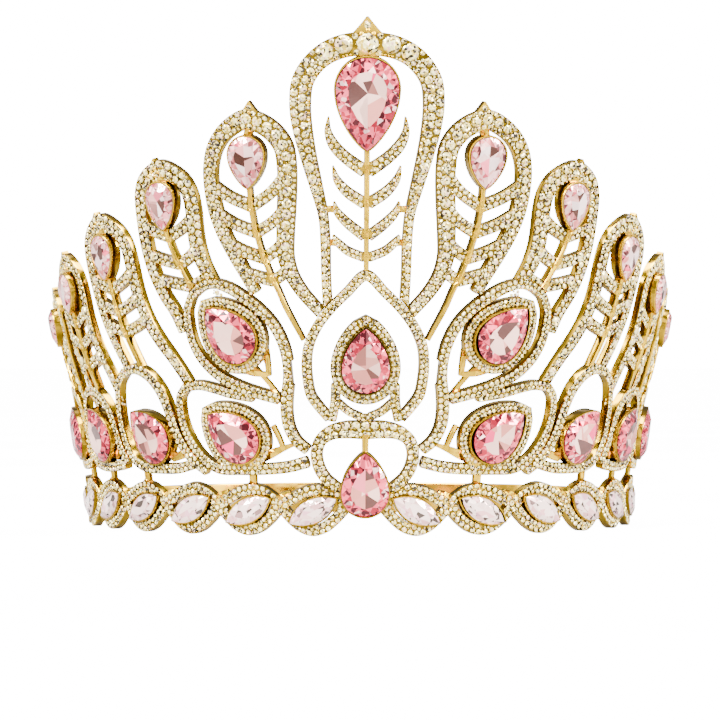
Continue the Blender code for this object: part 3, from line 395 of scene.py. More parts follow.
def inside(points, loop):
    # Whether each point lies in an outline, by winding number
    result = np.zeros(len(points), bool)
    near = np.nonzero(((points >= loop.min(axis=0)) & (points <= loop.max(axis=0))).all(axis=1))[0]
    if not len(near):
        return result
    b = np.roll(loop, -1, axis=0)
    for part in np.array_split(near, len(near) * len(loop) // 4000000 + 1):
        x = points[part, 0][:, None]
        y = points[part, 1][:, None]
        side = (b[:, 0] - loop[:, 0]) * (y - loop[:, 1]) - (x - loop[:, 0]) * (b[:, 1] - loop[:, 1])
        up = (loop[:, 1] <= y) & (b[:, 1] > y) & (side > 0)
        down = (loop[:, 1] > y) & (b[:, 1] <= y) & (side < 0)
        result[part] = up.sum(axis=1) != down.sum(axis=1)
    return result


def stepsOf(spec):
    # Insets of one shape with the height there and how it is laid over what is under it
    level = spec["level"]
    drop = metal["edgeDrop"]
    edge = metal["edgeWidth"]
    kind = spec["kind"]
    if kind == "gold":
        ridge = metal["ridge"] * min(spec["width"], metal["ridgeWidest"])
        return [(0, level - 1.5 * drop, "raise"), (0.08, level - drop, "raise"), (ridge, level, "raise")]
    if kind == "bezel":
        return [(-0.06, None, "mark"), (0, level - 0.25, "raise"), (0.12, level, "raise"), (0.26, level, "mark")]
    if kind == "floor":
        return [(0, None, "mark"), (0.1, level, "lower")]
    steps = [(0, level - drop, "raise"), (edge, level, "raise"), (metal["rim"], level, "raise")]
    if kind != "point" and spec["width"] > metal["channelFrom"]:
        steps.append((metal["channelIn"], level - metal["channelDepth"], "lower"))
    return steps


def layersOf(specs):
    # Rims first, then channels, then plain gold, then collars and their floors
    order = dict(pave=0, halo=0, point=0, gold=2, bezel=3, floor=4)
    rows = []
    for spec in specs:
        for inset, height, how in stepsOf(spec):
            rank = 1 if how == "lower" and spec["kind"] in ("pave", "halo", "point") else order[spec["kind"]]
            rows.append((rank, spec, inset, height, how))
    rows.sort(key=lambda r: r[0])
    layers = []
    for rank, spec, inset, height, how in rows:
        loop = outlineOf(spec, inset)
        if loop is not None:
            check = outlineOf(spec, inset - metal["check"]) if height is not None else None
            # Painted shade for this layer: darker channel and cup floors, collars as each cup asks, the outer rounded
            # edge a little
            dark = paintedShade["channel"] if rank == 1 else paintedShade["cup"] if rank == 4 else spec.get("dark", 0.0)
            if inset == 0 and rank in (0, 2):
                dark = paintedShade["rim"]
            layers.append(dict(loop=loop, check=check, height=height, how=how, outer=inset == 0, kind=spec["kind"],
                               top=spec["level"], dark=dark, fillBelow=spec.get("fillBelow", everywhere)))
    return layers


def heightAt(points, layers):
    # Height and painted shade of the metal at each point, the later layers over the earlier ones
    height = np.zeros(len(points))
    dark = np.zeros(len(points))
    for layer in layers:
        if layer["height"] is None:
            continue
        hit = inside(points, layer["check"])
        if layer["how"] == "raise":
            height[hit] = np.maximum(height[hit], layer["height"])
        else:
            height[hit] = layer["height"]
        dark[hit] = layer["dark"]
    return height, dark


def dressCasting(specs, cutters):
    # One pierced casting: rounded edges, channels for the crystals, collars for the large stones
    layers = layersOf(specs)
    loops = [layer["loop"] for layer in layers]
    low = np.min([loop.min(axis=0) for loop in loops], axis=0)
    high = np.max([loop.max(axis=0) for loop in loops], axis=0)
    cuts = []
    for spec in cutters:
        loop = outlineOf(spec, -metal["seam"])
        if loop is not None and (loop.max(axis=0) > low).all() and (loop.min(axis=0) < high).all():
            cuts.append(loop)
    verts = []
    edges = []
    for loop in loops + cuts:
        start = len(verts)
        verts.extend(Vector((float(x), float(y))) for x, y in loop)
        edges.extend((start + i, start + (i + 1) % len(loop)) for i in range(len(loop)))
    result = geometry.delaunay_2d_cdt(verts, edges, [], 0, 0.012, False)
    points = np.array([(v[0], v[1]) for v in result[0]])
    tris = np.array([list(f) for f in result[2]])
    p = points[tris]
    area = np.cross(p[:, 1] - p[:, 0], p[:, 2] - p[:, 0]) / 2
    tris[area < 0] = tris[area < 0][:, ::-1]
    centres = p.mean(axis=1)
    keep = np.zeros(len(tris), bool)
    for layer in layers:
        if layer["outer"] and layer["kind"] != "floor":
            keep |= inside(centres, layer["loop"])
    for loop in cuts:
        keep &= ~inside(centres, loop)
    keep &= np.abs(area) > metal["tiny"]
    keep = largestPatch(tris, keep, np.abs(area))
    tris = tris[keep]
    used, tris = np.unique(tris, return_inverse=True)
    tris = tris.reshape(-1, 3)
    points = points[used]
    height, dark = heightAt(points, layers)
    height = np.maximum(height, cupFloor)
    n = len(points)
    az = points[:, 0] / mmPerDegree
    coords = np.vstack([place(az, points[:, 1], height), place(az, points[:, 1], np.zeros(n))])
    faces = [tuple(t) for t in tris] + [(t[2] + n, t[1] + n, t[0] + n) for t in tris]
    # Painted shade at each corner, as the layers on top give it, slight on the back
    shades = [float(dark[i]) for t in tris for i in t] + [paintedShade["back"]] * (3 * len(tris))
    directed = {(t[i], t[(i + 1) % 3]) for t in tris.tolist() for i in range(3)}
    # Walls, painted darker from their top edge down
    for a, b in directed:
        if (b, a) not in directed:
            faces.append((b, a, a + n, b + n))
            shades += [paintedShade["edge"], paintedShade["edge"], paintedShade["wall"], paintedShade["wall"]]
    return coords, faces, shades, layers, cuts


def largestPatch(tris, keep, area):
    # Only the largest connected piece of what is kept
    sides = {}
    for t in np.nonzero(keep)[0]:
        tri = tris[t]
        for i in range(3):
            sides[(int(tri[i]), int(tri[(i + 1) % 3]))] = t
    seen = set()
    best = []
    bestArea = 0.0
    for start in np.nonzero(keep)[0]:
        if start in seen:
            continue
        patch = [start]
        seen.add(start)
        for k in patch:
            tri = tris[k]
            for i in range(3):
                o = sides.get((int(tri[(i + 1) % 3]), int(tri[i])))
                if o is not None and o not in seen:
                    seen.add(o)
                    patch.append(o)
        size = area[patch].sum()
        if size > bestArea:
            bestArea = size
            best = patch
    result = np.zeros(len(keep), bool)
    result[best] = True
    return result


def spline(knots, xs):
    # Cubic through the knots, each inner slope the mean of the chords beside it, value and slope at each x
    kx = np.array([k[0] for k in knots], float)
    ky = np.array([k[1] for k in knots], float)
    d = np.diff(ky) / np.diff(kx)
    m = np.empty_like(ky)
    m[0] = d[0]
    m[-1] = d[-1]
    m[1:-1] = (d[:-1] + d[1:]) / 2
    x = np.clip(np.asarray(xs, float), kx[0], kx[-1])
    i = np.clip(np.searchsorted(kx, x) - 1, 0, len(kx) - 2)
    h = kx[i + 1] - kx[i]
    t = (x - kx[i]) / h
    a = (1 + 2 * t) * (1 - t) ** 2
    b = t * (1 - t) ** 2
    c = t * t * (3 - 2 * t)
    e = t * t * (t - 1)
    value = a * ky[i] + b * h * m[i] + c * ky[i + 1] + e * h * m[i + 1]
    da = 6 * t * t - 6 * t
    slope = (da * ky[i] - da * ky[i + 1]) / h + (1 - 4 * t + 3 * t * t) * m[i] + (3 * t * t - 2 * t) * m[i + 1]
    return value, slope


def place(az, z, w):
    # Unrolled coordinates to metres; w runs along the normal of the flaring face
    r, slope = spline(profileRows, z)
    n = np.sqrt(1 + slope * slope)
    radius = r + (w - bandThickness) / n
    height = z - (w - bandThickness) * slope / n
    a = np.radians(az)
    return np.stack([radius * np.sin(a) + bulge(az) - middle[0], -radius * np.cos(a) - middle[1], height],
                    axis=-1) / 1000


def bulge(az):
    # Outward set of the right side, none at the front and the back
    rise = np.clip((az - bulgeStart) / bulgeRise, 0, 1)
    fall = np.clip((180 - az) / bulgeFall, 0, 1)
    return rightBulge * rise * rise * (3 - 2 * rise) * fall * fall * (3 - 2 * fall)


def degMm(z):
    # Millimetres a degree at a height
    return spline(profileRows, z)[0] * math.pi / 180


def tear(length, width, grow, count):
    # Pear outline, point up, centred on its length, in mm
    r = width / 2
    out = []
    low = -length / 2 + r
    for i in range(count):
        a = 2 * math.pi * i / count
        c = math.cos(a)
        s = math.sin(a)
        y = low + r * c
        x = r * s
        if c > 0:
            t = 1 - abs(i if i <= count / 2 else count - i) / (count / 4)
            y = low + (length - r) * t ** 1.02
            x = math.copysign(r * (1 - t ** 2.0) ** 0.86, s) if t < 1 else 0.0
        out.append((x, y))
    p = np.array(out)
    if grow:
        q = np.vstack([p[-1:], p, p[:1]])
        tx = q[2:, 0] - q[:-2, 0]
        ty = q[2:, 1] - q[:-2, 1]
        n = np.hypot(tx, ty)
        p = p + np.stack([-ty / n, tx / n], axis=1) * grow
    return p


def navette(length, width, grow, count):
    # Pointed oval outline, long way up, in mm
    half = length / 2
    r = (half * half + (width / 2) ** 2) / width
    reach = math.asin(half / r)
    n = count // 2
    side = [(r * math.cos(reach * (1 - 2 * i / n)) - (r - width / 2), half * math.sin(reach * (1 - 2 * i / n)) /
             math.sin(reach)) for i in range(n)]
    p = np.array(side + [(-x, -y) for x, y in side])
    if grow:
        p = p * np.array([1 + grow / (width / 2), 1 + grow * 1.25 / half])
    return p


def turned(outline, az, z, lean):
    # Outline in mm set at an azimuth and height, leaning outward
    c = math.cos(math.radians(lean))
    s = math.sin(math.radians(lean))
    m = degMm(z)
    x = outline[:, 0] * c + outline[:, 1] * s
    y = outline[:, 1] * c - outline[:, 0] * s
    return np.stack([az + x / m, z + y], axis=1)


def band(rows, level=bandThickness, kind="pave", pattern="double", inner=0.0):
    # Strip of metal along a curve; the centre arch has only large crystals at its top
    width = max(r[2] for r in rows)
    fillBelow = archTop if pattern == "single" and inner < 0 else everywhere
    return dict(shape="ribbon", rows=rows, level=level, kind=kind, pattern=pattern, inner=inner, width=width,
                fillBelow=fillBelow)


def cup(cut, at, halo=0.0, rim=bezelHeight, count=48, dark=0.25):
    # Halo, collar and floor round a large stone; dark is painted shade on the collar hugging the stone
    def ring(grow, level, kind):
        return dict(shape="stone", cut=cut, at=at, grow=grow, count=count, level=level, kind=kind, width=halo,
                    dark=dark if kind == "bezel" else 0.0)
    out = [ring(halo, haloThickness, "halo")] if halo else []
    return out + [ring(metal["collar"], rim + 0.35, "bezel"), ring(metal["collarIn"], cupFloor, "floor")]


def mirrored(spec, side):
    # The same shape on the left for side -1
    out = dict(spec, inner=side * spec["inner"]) if "inner" in spec else dict(spec)
    if spec["shape"] == "ribbon":
        out["rows"] = [(side * r[0], r[1], r[2]) for r in spec["rows"]]
    else:
        az, z, length, width, lean = spec["at"]
        out["at"] = (side * az, z, length, width, side * lean)
    return out


def spear(az, z, height, width):
    # Ogee point over an arch: share of the height left, share of the width
    shares = [(1.0, 1.0), (0.66, 0.62), (0.33, 0.29), (0.0, 0.0)]
    return band([(az, z - height * left, width * share) for left, share in shares], kind="point")


def centreFeather():
    # Tall feather in the middle: arch, barbs, links, stem and the cup of its pear
    both = [(-a, z, w) for a, z, w in centreBand] + [(0.0, 133.7, 6.2)] + list(reversed(centreBand))
    specs = [spear(0.0, 141.2, 6.8, 12.5), band(both, pattern="single", inner=-1.0)]
    for rows in centreBarbs:
        specs.append(band([(-a, z, w) for a, z, w in rows]))
        specs.append(band(rows))
    for z, inner, outer, width in centreLinks:
        for side in (-1, 1):
            specs.append(band([(side * inner, z, width), (side * outer, z, width)], stemThickness, "gold"))
    z, length, width = centrePears["top"][:3]
    specs.append(band([(0.0, 105.0, 1.6), (0.0, 90.0, 1.5), (0.0, 73.4, 1.4)], haloThickness, "gold"))
    specs.append(band([(-1.6, 131.0, 2.6), (1.6, 131.0, 2.6)], 1.6, "gold"))
    return specs + cup("pear", (0.0, z, length, width, 180.0), count=56)


def bandAt(rows, column, z):
    # Azimuth of a side band at a height
    pairs = sorted((r[0], r[column]) for r in rows if r[column] is not None)
    return float(np.interp(z, [p[0] for p in pairs], [p[1] for p in pairs]))


def sideFeather(row):
    # One feather of the right side: hood, barbs, stem and the cup of its pear
    rows = row["rows"]
    tipAz, tipZ = row["tip"]
    outer = [(r[2], r[0], r[3]) for r in reversed(rows) if r[2] is not None]
    inner = [(r[4], r[0], r[5]) for r in rows if r[4] is not None]
    top = (row["pear"][0], rows[0][0] + 0.9, rows[0][3])
    specs = [spear(tipAz, tipZ, 5.8, 9.4), band(outer + [top] + inner, pattern=row["pattern"], inner=0.4)]
    stem = [(r[1], r[0], featherStem) for r in rows if r[1] is not None]
    stem.append((row["stemEnd"][0], row["stemEnd"][1], 1.2))
    for z, riseOut, riseIn in row["barbs"]:
        root = bandAt([(s[1], s[0]) for s in stem], 1, z)
        for column, rise in ((2, riseOut), (4, riseIn)):
            end = bandAt(rows, column, z + rise)
            mid = root + (end - root) * 0.55
            specs.append(band([(root, z - 0.4, 3.4), (mid, z + rise * 0.38, 3.3), (end, z + rise, 3.0)],
                              pattern=row["barbPattern"]))
    az, z, length, width = row["pear"]
    specs.append(band([(az, z + length / 2 - 0.4, 2.4), (tipAz, rows[0][0] - 0.8, 2.4)], 1.6, "gold"))
    specs.append(band([(stem[0][0], z - length / 2 + 0.6, 1.5)] + stem, haloThickness, "gold"))
    return specs + cup("pear", (az, z, length, width, 180.0))


def mandorla():
    # Centre casting of the lower tier: pointed loop, ring with two hearts, two pears
    loop = [(-a, z, w) for a, z, w in reversed(mandorlaLoop)] + mandorlaLoop[1:]
    ring = [(-a, z, w) for a, z, w in reversed(heartRing)] + heartRing[1:]
    specs = [band(loop, eyeThickness), band(ring, eyeThickness)]
    for side in (-1, 1):
        specs.append(band([(side * 13.0, 48.4, 2.0), (side * 12.8, 42.2, 2.0)], stemThickness, "gold"))
        specs.append(band([(side * 5.5, 42.0, 2.7), (side * 5.7, 37.0, 2.7), (side * 6.4, 32.4, 2.7)], eyeThickness))
        specs.append(band([(side * 0.8, 33.2, 2.2), (side * 3.0, 34.6, 2.2), (side * 5.2, 37.2, 2.2)], eyeThickness))
    specs.append(band([(0.0, 33.6, 2.4), (0.0, 30.0, 2.4)], eyeThickness))
    specs.append(band([(0.0, 28.0, 1.9), (0.0, 22.6, 1.7)], haloThickness, "gold"))
    z, length, width = centrePears["middle"][:3]
    specs += cup("pear", (0.0, z, length, width, 0.0), halo=centreHalo, dark=0.95)
    z, length, width = centrePears["drop"][:3]
    return specs + cup("pear", (0.0, z, length, width, 0.0), dark=0.7)


def eye(names, leaves, pears, halo=0):
    # One eye casting of the right side
    specs = [band(eyeBands[n], eyeThickness) for n in names]
    specs += [band(rows, stemThickness, "gold") for rows in eyeGold[leaves]]
    for p in pears:
        specs += cup("pear", eyePears[p], halo=halo, dark=0.6)
    return specs


def garlandSide():
    # Right half of the foot: two crossing strands, leaves and the cups of the marquises
    specs = []
    count = garland["count"]
    for sign in (1, -1):
        rows = []
        for i in range(-3, (count - 1) * 6 + 4):
            s = i / 6
            swing = sign * math.cos(math.pi * s)
            z = garland["crossing"] + (garland["rise"] if swing > 0 else garland["drop"]) * swing
            az = garland["first"] + garland["pitch"] * s - 0.22 * max(0.0, z - garland["crossing"])
            rows.append((az, z, garland["strand"]))
        specs.append(band(rows, eyeThickness))
    for k in range(1, count):
        az = garland["first"] + garland["pitch"] * (k - 0.5)
        leaf = [(az + 0.6, 8.0, 2.0), (az - 0.4, 10.4, 3.4), (az - 1.9, 12.4, 0.8)]
        specs.append(band(leaf, stemThickness, "gold"))
    for k in (1, 3, 4, 5):
        az = garland["first"] + garland["pitch"] * k - 1.0
        specs.append(band([(az, 12.8, 2.2), (az, 17.4, 2.2)], stemThickness, "gold"))
    end = garland["first"] + garland["pitch"] * (count - 0.5)
    specs.append(band([(end - 2.4, 4.9, 7.0), (end + 1.4, 4.9, 9.4)], stemThickness, "gold"))
    for k in range(count):
        az = garland["first"] + garland["pitch"] * k
        at = (az, marquise["height"], marquise["length"], marquise["width"], -marquise["lean"])
        specs += cup("navette", at, rim=haloThickness, count=32, dark=0.55)
    return specs


def castings():
    # Name, shapes and side of each casting; the first ones cut the later ones back
    out = [("mandorla", mandorla(), 0)]
    sides = (("left", -1), ("right", 1))
    for word, side in sides:
        parts = [("eyes_%s_1" % word, eye(["firstInner", "firstOuter", "lowerTop", "lowerOuter"], "first",
                                          ["upper", "lower"], eyeHalo))]
        parts += [("eyes_%s_%d" % (word, k), eye([name + "Inner", name + "Outer"], name, [name]))
                  for k, name in ((2, "second"), (3, "third"), (4, "fourth"))]
        parts.append(("garland_%s" % word, garlandSide()))
        out += [(name, [mirrored(s, side) for s in specs], side) for name, specs in parts]
    out.append(("feather_centre", centreFeather(), 0))
    for word, side in sides:
        out += [("feather_%s_%s" % (word, row["name"]), [mirrored(s, side) for s in sideFeather(row)], side)
                for row in feathers]
    return out


def stones():
    # Name, cut, placing, seat, proportions and facets of each large stone
    out = []
    for name, (z, length, width, up) in centrePears.items():
        at = (0.0, z, length, width, 0.0 if up else 180.0)
        out.append(("pear_centre_" + name, "pear", at, stoneSeat, stoneCuts["centre"], 14 if name == "top" else 12))
    for word, side in (("left", -1), ("right", 1)):
        for row in feathers:
            az, z, length, width = row["pear"]
            out.append(("pear_feather_%s_%s" % (word, row["name"]), "pear", (side * az, z, length, width, 180.0),
                        stoneSeat, stoneCuts["feather"], 12))
        for name, (az, z, length, width, lean) in eyePears.items():
            out.append(("pear_eye_%s_%s" % (word, name), "pear", (side * az, z, length, width, side * lean),
                        stoneSeat, stoneCuts["eye"], 12))
        for k in range(garland["count"]):
            at = (side * (garland["first"] + garland["pitch"] * k), marquise["height"], marquise["length"],
                  marquise["width"], -side * marquise["lean"])
            out.append(("marquise_%s_%d" % (word, k + 1), "navette", at, marquiseSeat, stoneCuts["marquise"], 8))
    return out


def runOf(points):
    # Length in mm along a line of azimuth and height, at each point
    m = degMm(points[:, 1])
    dx = np.diff(points[:, 0]) * (m[1:] + m[:-1]) / 2
    return np.concatenate([[0.0], np.cumsum(np.hypot(dx, np.diff(points[:, 1])))])


# Crystals of one pitch across a band, as shares of its room or its width
patterns = dict(
    single=dict(between=0.30, inset=0.45),
    double=dict(pitch=1.02),
    triple=dict(big=0.60, near=0.15, fine=0.30, side=0.1, finest=0.2),
)


def crystalsAcross(width, pattern):
    # Pitch, then the shift across, shift along in pitches and diameter of each crystal
    room = width - setting["edge"]
    share = patterns[pattern]
    if pattern == "single":
        small = share["between"] * room
        off = 0.5 * room - share["inset"] * small
        return room, [(0.0, 0.0, room), (off, 0.5, small), (-off, 0.5, small)]
    if pattern == "double":
        size = room / 2
        return size * share["pitch"], [(size * 0.5, 0.0, size), (-size * 0.5, 0.5, size)]
    big = share["big"] * room
    gap = 0.5 * room - share["near"] * width
    side = 0.5 * room - share["side"] * width
    fine = share["fine"] * width
    finest = share["finest"] * width
    return big, [(0.0, 0.0, big), (gap, 0.5, fine), (-gap, 0.5, fine), (side, 0.0, finest), (-side, 0.0, finest)]


# Ball prongs along an arch, mm: spacing, radius, narrowest band, metal beside them, height below the rim
prongs = dict(every=1.15, radius=0.42, narrowest=3.2, strip=0.8, beside=0.12, down=0.1, start=0.5)


def bandCrystals(spec):
    # Azimuth, height, level and diameter of the crystals and grains along a band, laid out from its middle
    curve = smooth(spec["rows"], 0.15)
    s = runOf(curve)
    across, along = frameOf(curve)

    def spot(at, shift):
        return [np.interp(at, s, curve[:, k]) + np.interp(at, s, across[:, k]) * shift for k in (0, 1)]

    crystals = []
    grains = []
    inner = np.sign(spec["inner"])
    strip = abs(spec["inner"])
    top = s[int(np.argmax(curve[:, 1]))] if inner else s[-1] / 2
    for way in (1, -1):
        at = top
        while 0.1 < at < s[-1] - 0.1:
            width = np.interp(at, s, curve[:, 2])
            room = width - strip * min(1.0, width / 4)
            shift = -inner * (width - room) / 2
            first = at == top
            if first and inner:
                room = width
                shift = 0.0
            fine = np.interp(at, s, curve[:, 1]) < spec["fillBelow"] and room > setting["finest"]
            pitch, row = crystalsAcross(room, "double" if fine and spec["pattern"] == "single" else spec["pattern"])
            pitch *= setting["pitch"]
            for off, onward, size in row:
                if size > setting["smallest"] and (way > 0 or not first or onward):
                    where = at + way * onward * pitch
                    if 0 < where < s[-1]:
                        crystals.append((*spot(where, shift + off), spec["level"], size))
            between = at + way * pitch / 2
            for off in (room / 2 - setting["beadIn"], 0.0, setting["beadIn"] - room / 2):
                if 0 < between < s[-1]:
                    grains.append((*spot(between, shift + off), spec["level"], setting["bead"]))
            at += way * pitch
    radius = prongs["radius"]
    for at in np.arange(prongs["start"], s[-1], prongs["every"]) if strip > prongs["strip"] else ():
        width = np.interp(at, s, curve[:, 2])
        if width > prongs["narrowest"]:
            grains.append((*spot(at, inner * (width / 2 - prongs["beside"] - radius)),
                           spec["level"] - prongs["down"], radius))
    return crystals, grains


def haloCrystals(spec):
    # Two rows round a large stone, set in gaps of each other
    cut = tear if spec["cut"] == "pear" else navette
    az, z, length, width, lean = spec["at"]
    inner = metal["collar"] + setting["haloEdge"]
    size = (spec["grow"] - setting["haloEdge"] - inner) / 2
    crystals = []
    grains = []
    for row in (0, 1):
        loop = turned(cut(length, width, inner + size * (row + 0.5), 96), az, z, lean)
        ring = np.vstack([loop, loop[:1]])
        s = np.concatenate([[0.0], np.cumsum(np.hypot(np.diff(ring[:, 0]) * degMm(ring[1:, 1]),
                                                      np.diff(ring[:, 1])))])
        count = int(s[-1] / (size * setting["pitch"]))
        for i in range(count):
            for out, at, wide in ((crystals, s[-1] * (i + 0.5 * row) / count, size),
                                  (grains, s[-1] * (i + 0.5 + 0.5 * row) / count % s[-1], 0.8 * setting["bead"])):
                out.append((np.interp(at, s, ring[:, 0]), np.interp(at, s, ring[:, 1]), spec["level"], wide))
    return crystals, grains


# Tip of an arch: height of its crystal and diameter, then rows of balls, as shares of its height and width
tip = dict(at=0.64, size=0.19, ball=0.062, apart=0.115, rows=((0.10, (-2, 0, 2)), (0.28, (-1, 1)), (0.42, (0,))))


def pointCrystals(spec):
    # One near the tip of an arch, with gold balls below it
    az = spec["rows"][0][0]
    low = spec["rows"][0][1]
    high = spec["rows"][-1][1] - low
    wide = spec["width"]
    balls = [(az + side * wide * tip["apart"] / mmPerDegree, low + high * share, spec["level"], wide * tip["ball"])
             for share, row in tip["rows"] for side in row]
    return [(az, low + high * tip["at"], spec["level"], wide * tip["size"])], balls


def setCrystals(specs, layers, cuts):
    # Every crystal of a casting that has metal all round it and clears its neighbours
    crystals = []
    grains = []
    setters = dict(pave=bandCrystals, halo=haloCrystals, point=pointCrystals)
    for spec in specs:
        if spec["kind"] in setters:
            more, beads = setters[spec["kind"]](spec)
            crystals += more
            grains += beads
    crystals = np.array(sorted(crystals, key=lambda row: -row[3]))
    grains = np.array(sorted(grains, key=lambda row: -row[3]))

    def free(rows, reach):
        # Whether a spot and eight round it lie on set metal, clear of collars and of castings in front
        radii = reach * rows[:, 3]
        ok = np.ones(len(rows), bool)
        for k in range(9):
            a = k * math.pi / 4
            radius = radii * (k < 8)
            p = np.stack([(rows[:, 0] + radius * math.cos(a) / degMm(rows[:, 1])) * mmPerDegree,
                          rows[:, 1] + radius * math.sin(a)], axis=1)
            good = np.zeros(len(rows), bool)
            for layer in layers:
                if layer["outer"] and layer["kind"] in setters:
                    good |= inside(p, layer["loop"])
            for layer in layers:
                if layer["outer"] and layer["kind"] in ("gold", "bezel"):
                    good &= ~(inside(p, layer["loop"]) & (rows[:, 2] < layer["top"] + setting["guard"]))
            for loop in cuts:
                good &= ~inside(p, loop)
            ok &= good
        return ok

    def spotsOf(rows):
        return place(rows[:, 0], rows[:, 1], rows[:, 2]) * 1000

    crystals = crystals[free(crystals, setting["stand"])]
    grains = grains[free(grains, 0.5)]
    batches = [crystals]
    rng = np.random.default_rng(setting["seed"])
    for size in setting["fill"]:
        for layer in layers:
            if layer["outer"] and layer["kind"] in ("pave", "halo"):
                spans = zip(layer["loop"].min(axis=0), layer["loop"].max(axis=0))
                grid = np.stack(np.meshgrid(*[np.arange(a, b, setting["every"]) for a, b in spans]), axis=-1)
                grid = grid.reshape(-1, 2)
                grid = grid + rng.uniform(-setting["stray"], setting["stray"], grid.shape)
                grid = grid[inside(grid, layer["loop"]) & (grid[:, 1] < layer["fillBelow"])]
                if len(grid):
                    rows = np.column_stack([grid[:, 0] / mmPerDegree, grid[:, 1], np.full(len(grid), layer["top"]),
                                            np.full(len(grid), size)])
                    batches.append(rows[free(rows, setting["stand"])])
    rows = np.vstack(batches)
    spots = spotsOf(rows)
    taken = np.zeros((len(rows), 4))
    chosen = []
    for i in range(len(rows)):
        near = taken[:len(chosen)]
        d = np.linalg.norm(near[:, :3] - spots[i], axis=1)
        if (d >= setting["apart"] * (near[:, 3] + rows[i, 3])).all():
            taken[len(chosen)] = (*spots[i], rows[i, 3])
            chosen.append(i)
    crystals = rows[chosen]
    spots = spots[chosen]
    beads = spotsOf(grains)
    kept = []
    for i in range(len(grains)):
        d = np.linalg.norm(spots - beads[i], axis=1)
        covered = (d < crystals[:, 3] / 2 * setting["beadClear"]).any()
        if not covered and kept:
            d = np.linalg.norm(beads[kept] - beads[i], axis=1)
            covered = (d < setting["beadApart"] * (grains[kept, 3] + grains[i, 3])).any()
        if not covered:
            kept.append(i)
    return crystals, grains[kept]


# Cut of a large stone: rings of the crown and pavilion as shares of its outline and depth, half of its girdle
cutShares = dict(heart=0.8, kites=0.80, kitesUp=0.66, girdle=0.14, deep=0.52, deepDown=0.72)


def cutStone(cut, at, seat, proportions, count, facets):
    # Brilliant of any outline: table, stars, kites, girdle, pavilion; the first faces are the table's
    az, z, length, width, lean = at
    crown, pavilion, table = proportions
    share = cutShares
    outline = (tear if cut == "pear" else navette)(length, width, 0, count)
    heart = np.array([0.0, (width - length) / 2 * share["heart"] if cut == "pear" else 0.0])
    step = count // facets
    half = step // 2

    def ring(indices, scale, height):
        return [(*(heart + (outline[i % count] - heart) * scale), height) for i in indices]

    corners = [j * step for j in range(facets)]
    between = [j * step + half for j in range(facets)]
    rings = [ring(corners, table, crown), ring(between, share["kites"], crown * share["kitesUp"]),
             ring(range(count), 1.0, share["girdle"]), ring(range(count), 1.0, -share["girdle"]),
             ring(corners, share["deep"], -pavilion * share["deepDown"])]
    tableAt, midAt, topAt, lowAt, deepAt, culet = np.cumsum([0] + [len(r) for r in rings]).tolist()
    faces = [[tableAt + j, tableAt + (j + 1) % facets, culet + 1] for j in range(facets)]
    for j in range(facets):
        after = (j + 1) % facets
        faces.append([midAt + j, tableAt + after, tableAt + j])
        faces.append([tableAt + after, midAt + j, topAt + corners[after], midAt + after])
        for a in range(corners[j], corners[j] + step):
            faces.append([midAt + j, topAt + a, topAt + (a + 1) % count])
    for i in range(count):
        after = (i + 1) % count
        faces.append([topAt + i, lowAt + i, lowAt + after, topAt + after])
    for j in range(facets):
        after = (j + 1) % facets
        for i in range(step):
            a = corners[j] + i
            faces.append([lowAt + (a + 1) % count, lowAt + a, deepAt + (j if i < half else after)])
        faces.append([lowAt + between[j], deepAt + j, deepAt + after])
        faces.append([deepAt + after, deepAt + j, culet])
    c = math.cos(math.radians(lean))
    s = math.sin(math.radians(lean))
    base, across, upward, normal = seatFrame(az, z, seat)
    points = [p for r in rings for p in r] + [(heart[0], heart[1], -pavilion), (heart[0], heart[1], crown)]
    return [base + (across * (x * c + y * s) + upward * (y * c - x * s) + normal * h) / 1000
            for x, y, h in points], faces


def seatFrame(az, z, w):
    # Point on the flaring face with its directions across, up and out
    base, right, above = [place(np.array([a]), np.array([h]), np.array([w]))[0]
                          for a, h in ((az, z), (az + 0.01, z), (az, z + 0.01))]
    across = (right - base) / np.linalg.norm(right - base)
    upward = above - base
    upward = upward - across * upward.dot(across)
    upward = upward / np.linalg.norm(upward)
    return base, across, upward, np.cross(across, upward)


# Finishes of the metal: colours, roughness, grain a metre and its relief; dark is the colour of the painted shade
gold = dict(light=(0.84, 0.525, 0.012), deep=(0.60, 0.345, 0.005), dark=(0.040, 0.022, 0.003),
            smooth=0.08, rough=0.20, grain=900.0, bump=0.03)
bandGold = dict(light=(0.86, 0.52, 0.02), deep=(0.66, 0.34, 0.008), dark=(0.022, 0.011, 0.002),
                smooth=0.07, rough=0.14, grain=400.0, bump=0.015)
# Stones: cells a metre, tilt of a cell, colours, share of dark and of light, share of the accent. The dark, light and
# accent cells are painted reflections and sparkle; the rose, blush and pale hues are the stones' own colour
clear = dict(cells=1900.0, tilt=0.75, dark=(0.018, 0.012, 0.004), middle=(0.62, 0.43, 0.045),
             light=(1.0, 0.88, 0.38), accent=(0.97, 0.62, 0.44), darkShare=0.25, lightFrom=0.50,
             accentShare=0.13, metallic=0.30)
clearLarge = dict(clear, cells=1400.0, darkShare=0.17, lightFrom=0.38, accentShare=0.12)
roseTable = dict(cells=110.0, tilt=0.06, dark=(0.10, 0.035, 0.028), middle=(0.70, 0.24, 0.19),
                 light=(1.0, 0.58, 0.47), accent=(0.88, 0.04, 0.15), darkShare=0.22, lightFrom=0.42,
                 accentShare=0.10, metallic=0.60)
roseRing = dict(cells=620.0, tilt=0.22, dark=(0.07, 0.004, 0.008), middle=(0.40, 0.015, 0.035),
                light=(0.88, 0.10, 0.15), accent=(1.0, 0.58, 0.54), darkShare=0.25, lightFrom=0.50,
                accentShare=0.10, metallic=0.70)
